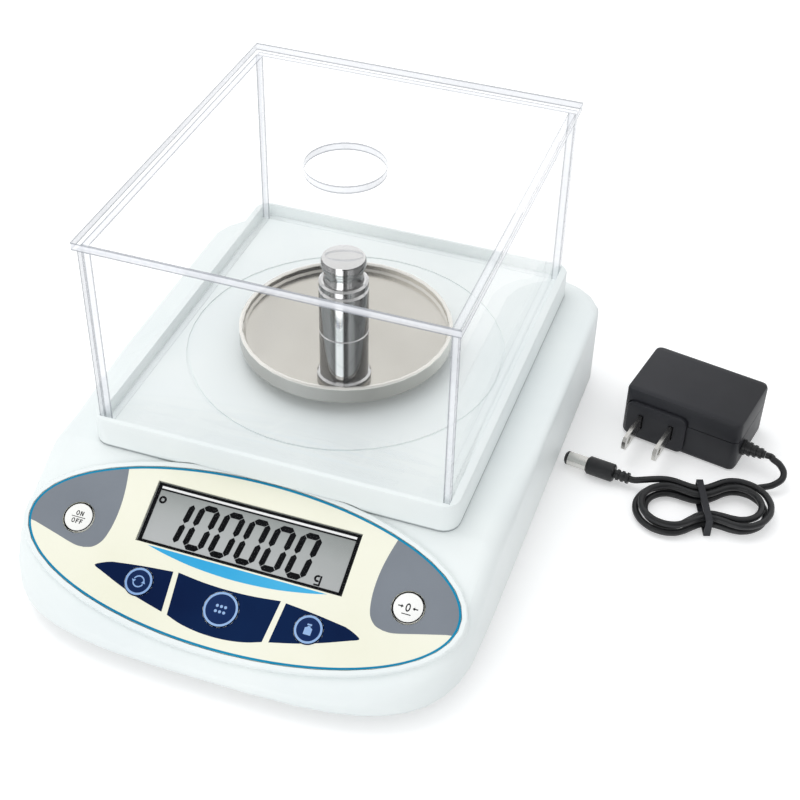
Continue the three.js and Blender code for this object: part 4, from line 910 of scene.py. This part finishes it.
DISPLAY_LEFT = -WINDOW_WIDTH / 2
DISPLAY_RIGHT = WINDOW_WIDTH / 2
DISPLAY_TOP = WINDOW_CENTRE_V + WINDOW_HEIGHT / 2
DISPLAY_BOTTOM = WINDOW_CENTRE_V - WINDOW_HEIGHT / 2
DISPLAY_INSET = 0.03
FRAME_SIDE = 1.4
FRAME_BOTTOM = 1.0
FRAME_TOP = 1.0
FRAME_DEPTH = 0.12
STRIP = 0.9
STRIP_DEPTH = 0.05
STRIP_TO_VIEW = 0.55
DIGITS = "100000"
DIGIT_WIDTH = 7.75
DIGIT_HEIGHT = 17.1
DIGIT_PITCH = 9.4
DIGIT_SECOND_U = -22.1
DIGIT_BOTTOM_V = -29.1
DIGIT_BAR = 2.15
DIGIT_SPLIT = 0.14
DIGIT_SLANT = math.tan(math.radians(7))
MARKER_AT = (-34.3, -14.2)
MARKER_RADII = (1.4, 0.62)
MARKER_TO = 345
UNIT_AT = (27.8, -26.7)
UNIT_RADII = (1.25, 0.55)
UNIT_OPENING = 53
MARK_STEPS = 20


def segment(start, end):
    """A bar from start to end with pointed ends, as on a seven-segment digit."""
    a, b = Vector(start), Vector(end)
    along = (b - a).normalized()
    side = Vector((-along.y, along.x)) * DIGIT_BAR / 2
    a += along * DIGIT_SPLIT
    b -= along * DIGIT_SPLIT
    tip = along * DIGIT_BAR / 2
    return [a, a + tip + side, b - tip + side, b, b - tip - side, a + tip - side]


def digit(value, u):
    """The bars of one digit, 0 or 1, whose left side stands at u."""
    left, right = DIGIT_BAR / 2, DIGIT_WIDTH - DIGIT_BAR / 2
    low, high = DIGIT_BAR / 2, DIGIT_HEIGHT - DIGIT_BAR / 2
    middle = DIGIT_HEIGHT / 2
    bars = {
        "0": [
            ((left, low), (left, middle)),
            ((left, middle), (left, high)),
            ((left, high), (right, high)),
            ((right, high), (right, middle)),
            ((right, middle), (right, low)),
            ((right, low), (left, low)),
        ],
        "1": [((right, high), (right, middle)), ((right, middle), (right, low))],
    }[value]
    rings = [segment(*bar) for bar in bars]
    return [[(u + p.x + p.y * DIGIT_SLANT, DIGIT_BOTTOM_V + p.y) for p in ring] for ring in rings]


def display_marks():
    """The small ring at the upper left, and the letter g after the digits."""
    marker = [arc(radius, 0, MARKER_TO, MARK_STEPS) for radius in MARKER_RADII]
    outer, inner = UNIT_RADII
    bowl = arc(outer, UNIT_OPENING, 360 - UNIT_OPENING, MARK_STEPS)
    bowl += arc(inner, 360 - UNIT_OPENING, UNIT_OPENING, MARK_STEPS)
    unit = [bowl, box_ring(0.75, -2.5, 1.4, 1.15), box_ring(-0.8, -2.5, 0.75, -1.9)]
    return moved(marker, *MARKER_AT) + moved(unit, *UNIT_AT)


def display():
    """The display's black frame with a silver strip, its digits and its marks."""
    left, right = DISPLAY_LEFT + FRAME_SIDE, DISPLAY_RIGHT - FRAME_SIDE
    strip_top = DISPLAY_TOP - FRAME_TOP
    strip_bottom = strip_top - STRIP
    outer = box_ring(
        DISPLAY_LEFT + DISPLAY_INSET,
        DISPLAY_BOTTOM + DISPLAY_INSET,
        DISPLAY_RIGHT - DISPLAY_INSET,
        DISPLAY_TOP - DISPLAY_INSET,
    )
    view = box_ring(left, DISPLAY_BOTTOM + FRAME_BOTTOM, right, strip_bottom - STRIP_TO_VIEW)
    strip = box_ring(left, strip_bottom, right, strip_top)
    bars = []
    for place, value in enumerate(DIGITS):
        bars += digit(value, DIGIT_SECOND_U + (place - 1) * DIGIT_PITCH)
    glass = {"w": LCD_TOP, "slot": "lcd"}
    printed("display_mask", [outer, view, strip], "black", depth=FRAME_DEPTH, **glass)
    printed("display_strip", [strip], "silver", depth=STRIP_DEPTH, **glass)
    printed("display_digits", bars, "black", **glass)
    printed("display_marks", display_marks(), "black", **glass)


display()


# The lead, from the adapter through its hank to the plug

CORD_RADIUS = 1.3
GAP = 0.3
RELIEF_END = (33.6, -8.5, 8)
HANK_HALF_RUN = 13
HANK_FOLD_RADIUS = 8
HANK_PITCH = 3.5
HANK_LAYER = 3.3
HANK_DRAW = 4.5
HANK_TURNS = 3.25
HANK_END = HANK_TURNS - 1e-6
HANK_REVERSAL = 1.625
HANK_CLIMB = 0.25
HANK_Z = 2.2
HANK_POINTS_A_QUARTER = 7
LEAD_POINTS = [
    (162, 63.2, 8),
    (165.5, 61.4, 7),
    (167.6, 57.6, 5.4),
    (165.2, 53.6, 3.8),
    (160.6, 51.3, 2.6),
    (156.6, 49.8, 2.2),
]
TAIL_POINT = (117, 37.1, 4.75)
LEAD_RESOLUTION = 5
LEAD_BEVEL = 4


def hank_point(turn):
    """Where the lead is after so many turns of the hank. It winds in, and after the reversal
    winds out again in a layer above."""
    share = turn % 1
    radius = HANK_FOLD_RADIUS + HANK_PITCH * abs(turn - HANK_REVERSAL)
    climb = min(1, max(0, (turn - HANK_REVERSAL + HANK_CLIMB / 2) / HANK_CLIMB))
    z = HANK_Z + HANK_LAYER * climb * climb * (3 - 2 * climb)
    upper = 1 if share < 0.5 else -1
    along = (share % 0.5) * 4
    if along < 1:
        x = upper * HANK_HALF_RUN * (1 - 2 * along)
        waist = (1 + math.cos(math.pi * x / HANK_HALF_RUN)) / 2
        return x, upper * (radius - HANK_DRAW * waist), z
    angle = (along - 1) * math.pi
    x = -upper * (HANK_HALF_RUN + radius * math.sin(angle))
    return x, upper * radius * math.cos(angle), z


def lead_path():
    """The points of the lead's middle line, in metres."""
    straight = 2 * CORD_RADIUS
    x, y, z = RELIEF_END
    path = [placed(ADAPTER, (x, y, z)), placed(ADAPTER, (x + straight, y, z))]
    path += [Vector(p) for p in LEAD_POINTS]
    x, y, z = hank_point(0)
    path.append(placed(HANK, (x + straight + GAP, y, z)))
    steps = int(HANK_TURNS * 4 * HANK_POINTS_A_QUARTER)
    turns = [min(HANK_TURNS * i / steps, HANK_END) for i in range(steps + 1)]
    path += [placed(HANK, hank_point(turn)) for turn in turns]
    x, y, z = hank_point(HANK_END)
    path.append(placed(HANK, (x - straight - GAP - CORD_RADIUS, y, z)))
    path.append(Vector(TAIL_POINT))
    path += [placed(PLUG, (-GAP - CORD_RADIUS, 0, 0)), placed(PLUG, (GAP, 0, 0))]
    return [p * MM for p in path]


def output_lead():
    """The round lead, in place of the three plain solids of its path."""
    path = lead_path()
    curve = bpy.data.curves.new("output_lead", "CURVE")
    curve.dimensions = "3D"
    curve.resolution_u = LEAD_RESOLUTION
    curve.bevel_depth = CORD_RADIUS * MM
    curve.bevel_resolution = LEAD_BEVEL
    curve.use_fill_caps = True
    spline = curve.splines.new("BEZIER")
    spline.bezier_points.add(len(path) - 1)
    for point, place in zip(spline.bezier_points, path):
        point.co = place
        point.handle_left_type = "AUTO"
        point.handle_right_type = "AUTO"
    curve.materials.append(MATERIALS["black_rubber"])
    ob = new_object("output_lead", curve)
    bpy.context.view_layer.update()
    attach(ob, "adapter")
    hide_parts("cord_lead", "cord_hank", "cord_tail")


output_lead()


# Finishes of the carried-over pieces

SHARP_ANGLE = math.radians(32)
JOIN_MICRONS = 2

# Each clear sheet and the axis of its thickness

SHEETS = {
    "shield_front_wall": (0, 1, 0),
    "shield_back_wall": (0, 1, 0),
    "shield_left_wall": (1, 0, 0),
    "shield_right_wall": (1, 0, 0),
    "shield_lid": (0, 0, 1),
}


def smoothing():
    """A modifier's nodes that join the faces of a piece and shade its gentle bends smooth."""
    tree = bpy.data.node_groups.new("smooth_bends", "GeometryNodeTree")
    for way in ("INPUT", "OUTPUT"):
        tree.interface.new_socket("Geometry", in_out=way, socket_type="NodeSocketGeometry")
    n = Nodes(tree)
    start = n.add("NodeGroupInput").outputs[0]
    inputs = {"Geometry": start, "Name": "custom_normal"}
    bare = n.add("GeometryNodeRemoveAttribute", inputs).outputs[0]
    inputs = {"Geometry": bare, "Distance": JOIN_MICRONS * MICRON}
    joined = n.add("GeometryNodeMergeByDistance", inputs).outputs[0]
    faces = n.add("GeometryNodeSetShadeSmooth", {"Geometry": joined}).outputs[0]
    angle = n.add("GeometryNodeInputMeshEdgeAngle").outputs["Unsigned Angle"]
    inputs = {"A": angle, "B": SHARP_ANGLE}
    gentle = n.add("FunctionNodeCompare", inputs, data_type="FLOAT", operation="LESS_THAN")
    inputs = {"Geometry": faces, "Shade Smooth": gentle.outputs[0]}
    edges = n.add("GeometryNodeSetShadeSmooth", inputs, domain="EDGE").outputs[0]
    n.add("NodeGroupOutput", {0: edges})
    return tree


def dress_nodes():
    """Give each piece its own material, or else the one of its slot, and smooth bends. The clear
    pieces throw no shadow and stop no stray light."""
    tree = smoothing()
    clear = {node: acrylic(node, thin_axis) for node, thin_axis in SHEETS.items()}
    clear["display_window"] = window_pane()
    own = {**clear, "plug_barrel": plug_plating(), "shield_tray": TRAY_WHITE}
    for node, ob in nodes.items():
        slot = ob.material_slots[0].material.name.split(".")[0]
        material = own.get(node) or MATERIALS[slot]
        for place in ob.material_slots:
            place.material = material
        ob.modifiers.new("smooth", "NODES").node_group = tree
    for node in clear:
        nodes[node].visible_shadow = False
        nodes[node].visible_diffuse = False


dress_nodes()


# Floor, sky and lamps, in metres

FLOOR_HALF = 6.0
FLOOR_Z = -0.0002
FLOOR_COLOUR = "eeeeee"
FLOOR_ROUGHNESS = 0.9
FLOOR_LIFT = 0.34
SKY_COLOUR = (0.97, 0.985, 1, 1)
SKY_LIGHT = 0.78
SKY_SEEN = 1.0

# How bright mirrors see the room, from behind the balance, 0, to its front right, 1

ROOM_FRONT = (0.37, -0.93, 0)
ROOM_STOPS = [(0.0, 1.0), (0.5, 0.95), (0.72, 0.5), (1.0, 0.3)]

LAMP_TARGET = (0, 0, 0.05)


def floor_paper():
    """Pale paper that the camera, mirrors and glass see a little lighter than lamps make it."""
    n = Paint("stage_paper")
    clouds = n.noise(scale=3, detail=2)
    n.give("Base Color", n.two_tone(clouds, FLOOR_COLOUR, FLOOR_COLOUR))
    n.give("Roughness", FLOOR_ROUGHNESS)
    n.give("Specular IOR Level", 0)
    rays = n.add("ShaderNodeLightPath").outputs
    direct = n.calc("MAXIMUM", rays["Is Camera Ray"], rays["Is Glossy Ray"])
    seen = n.calc("MAXIMUM", direct, rays["Is Transmission Ray"])
    strength = n.calc("MULTIPLY", seen, FLOOR_LIFT)
    glow = n.add("ShaderNodeEmission", {"Color": WHITE, "Strength": strength})
    n.surface_is(n.add("ShaderNodeAddShader", {0: n.shader.outputs[0], 1: glow.outputs[0]}))
    return n.material


def floor():
    """The flat floor, which is no piece of the balance."""
    half = FLOOR_HALF
    corners = [(-half, -half, 0), (half, -half, 0), (half, half, 0), (-half, half, 0)]
    mesh = bpy.data.meshes.new("floor")
    mesh.from_pydata(corners, [], [(0, 1, 2, 3)])
    mesh.materials.append(floor_paper())
    ob = new_object("floor", mesh)
    ob.location.z = FLOOR_Z


def world():
    """An even sky, seen white by the camera and through glass. Mirrors see a room with a
    darker front."""
    sky = bpy.data.worlds.new("sky")
    bpy.context.scene.world = sky
    sky.use_nodes = True
    n = Nodes(sky.node_tree)
    rays = n.add("ShaderNodeLightPath").outputs
    even = n.add("ShaderNodeBackground", {"Color": SKY_COLOUR, "Strength": SKY_LIGHT})
    white = n.add("ShaderNodeBackground", {"Color": WHITE, "Strength": SKY_SEEN})
    direction = n.add("ShaderNodeTexCoord").outputs["Generated"]
    place = n.step(n.dot(direction, ROOM_FRONT), -1.0, 1.0)
    levels = n.ramp(place, [(share, (level, level, level, 1)) for share, level in ROOM_STOPS])
    room = n.add("ShaderNodeBackground", {"Color": levels, "Strength": SKY_SEEN})
    lit = n.mix(rays["Is Glossy Ray"], even, room)
    direct = n.calc("MAXIMUM", rays["Is Camera Ray"], rays["Is Transmission Ray"])
    output = n.tree.nodes["World Output"]
    feed(n.tree, output.inputs["Surface"], n.mix(direct, lit, white).outputs[0])


def lamp(name, place, size, watts, seen_in_mirrors=True):
    """A soft lamp of size across and up, which points at the balance."""
    data = bpy.data.lights.new(name, "AREA")
    data.shape = "RECTANGLE"
    data.size, data.size_y = size
    data.energy = watts
    ob = new_object(name, data)
    ob.location = place
    ob.rotation_euler = (Vector(LAMP_TARGET) - Vector(place)).to_track_quat("-Z", "Y").to_euler()
    ob.visible_glossy = seen_in_mirrors


bpy.context.scene.view_settings.view_transform = "Standard"
floor()
world()
lamp("key_lamp", (-0.5, 0.3, 1.4), size=(1.1, 1.1), watts=6.5, seen_in_mirrors=False)
lamp("front_lamp", (-0.3, -1.4, 0.4), size=(1.4, 0.5), watts=4.5)
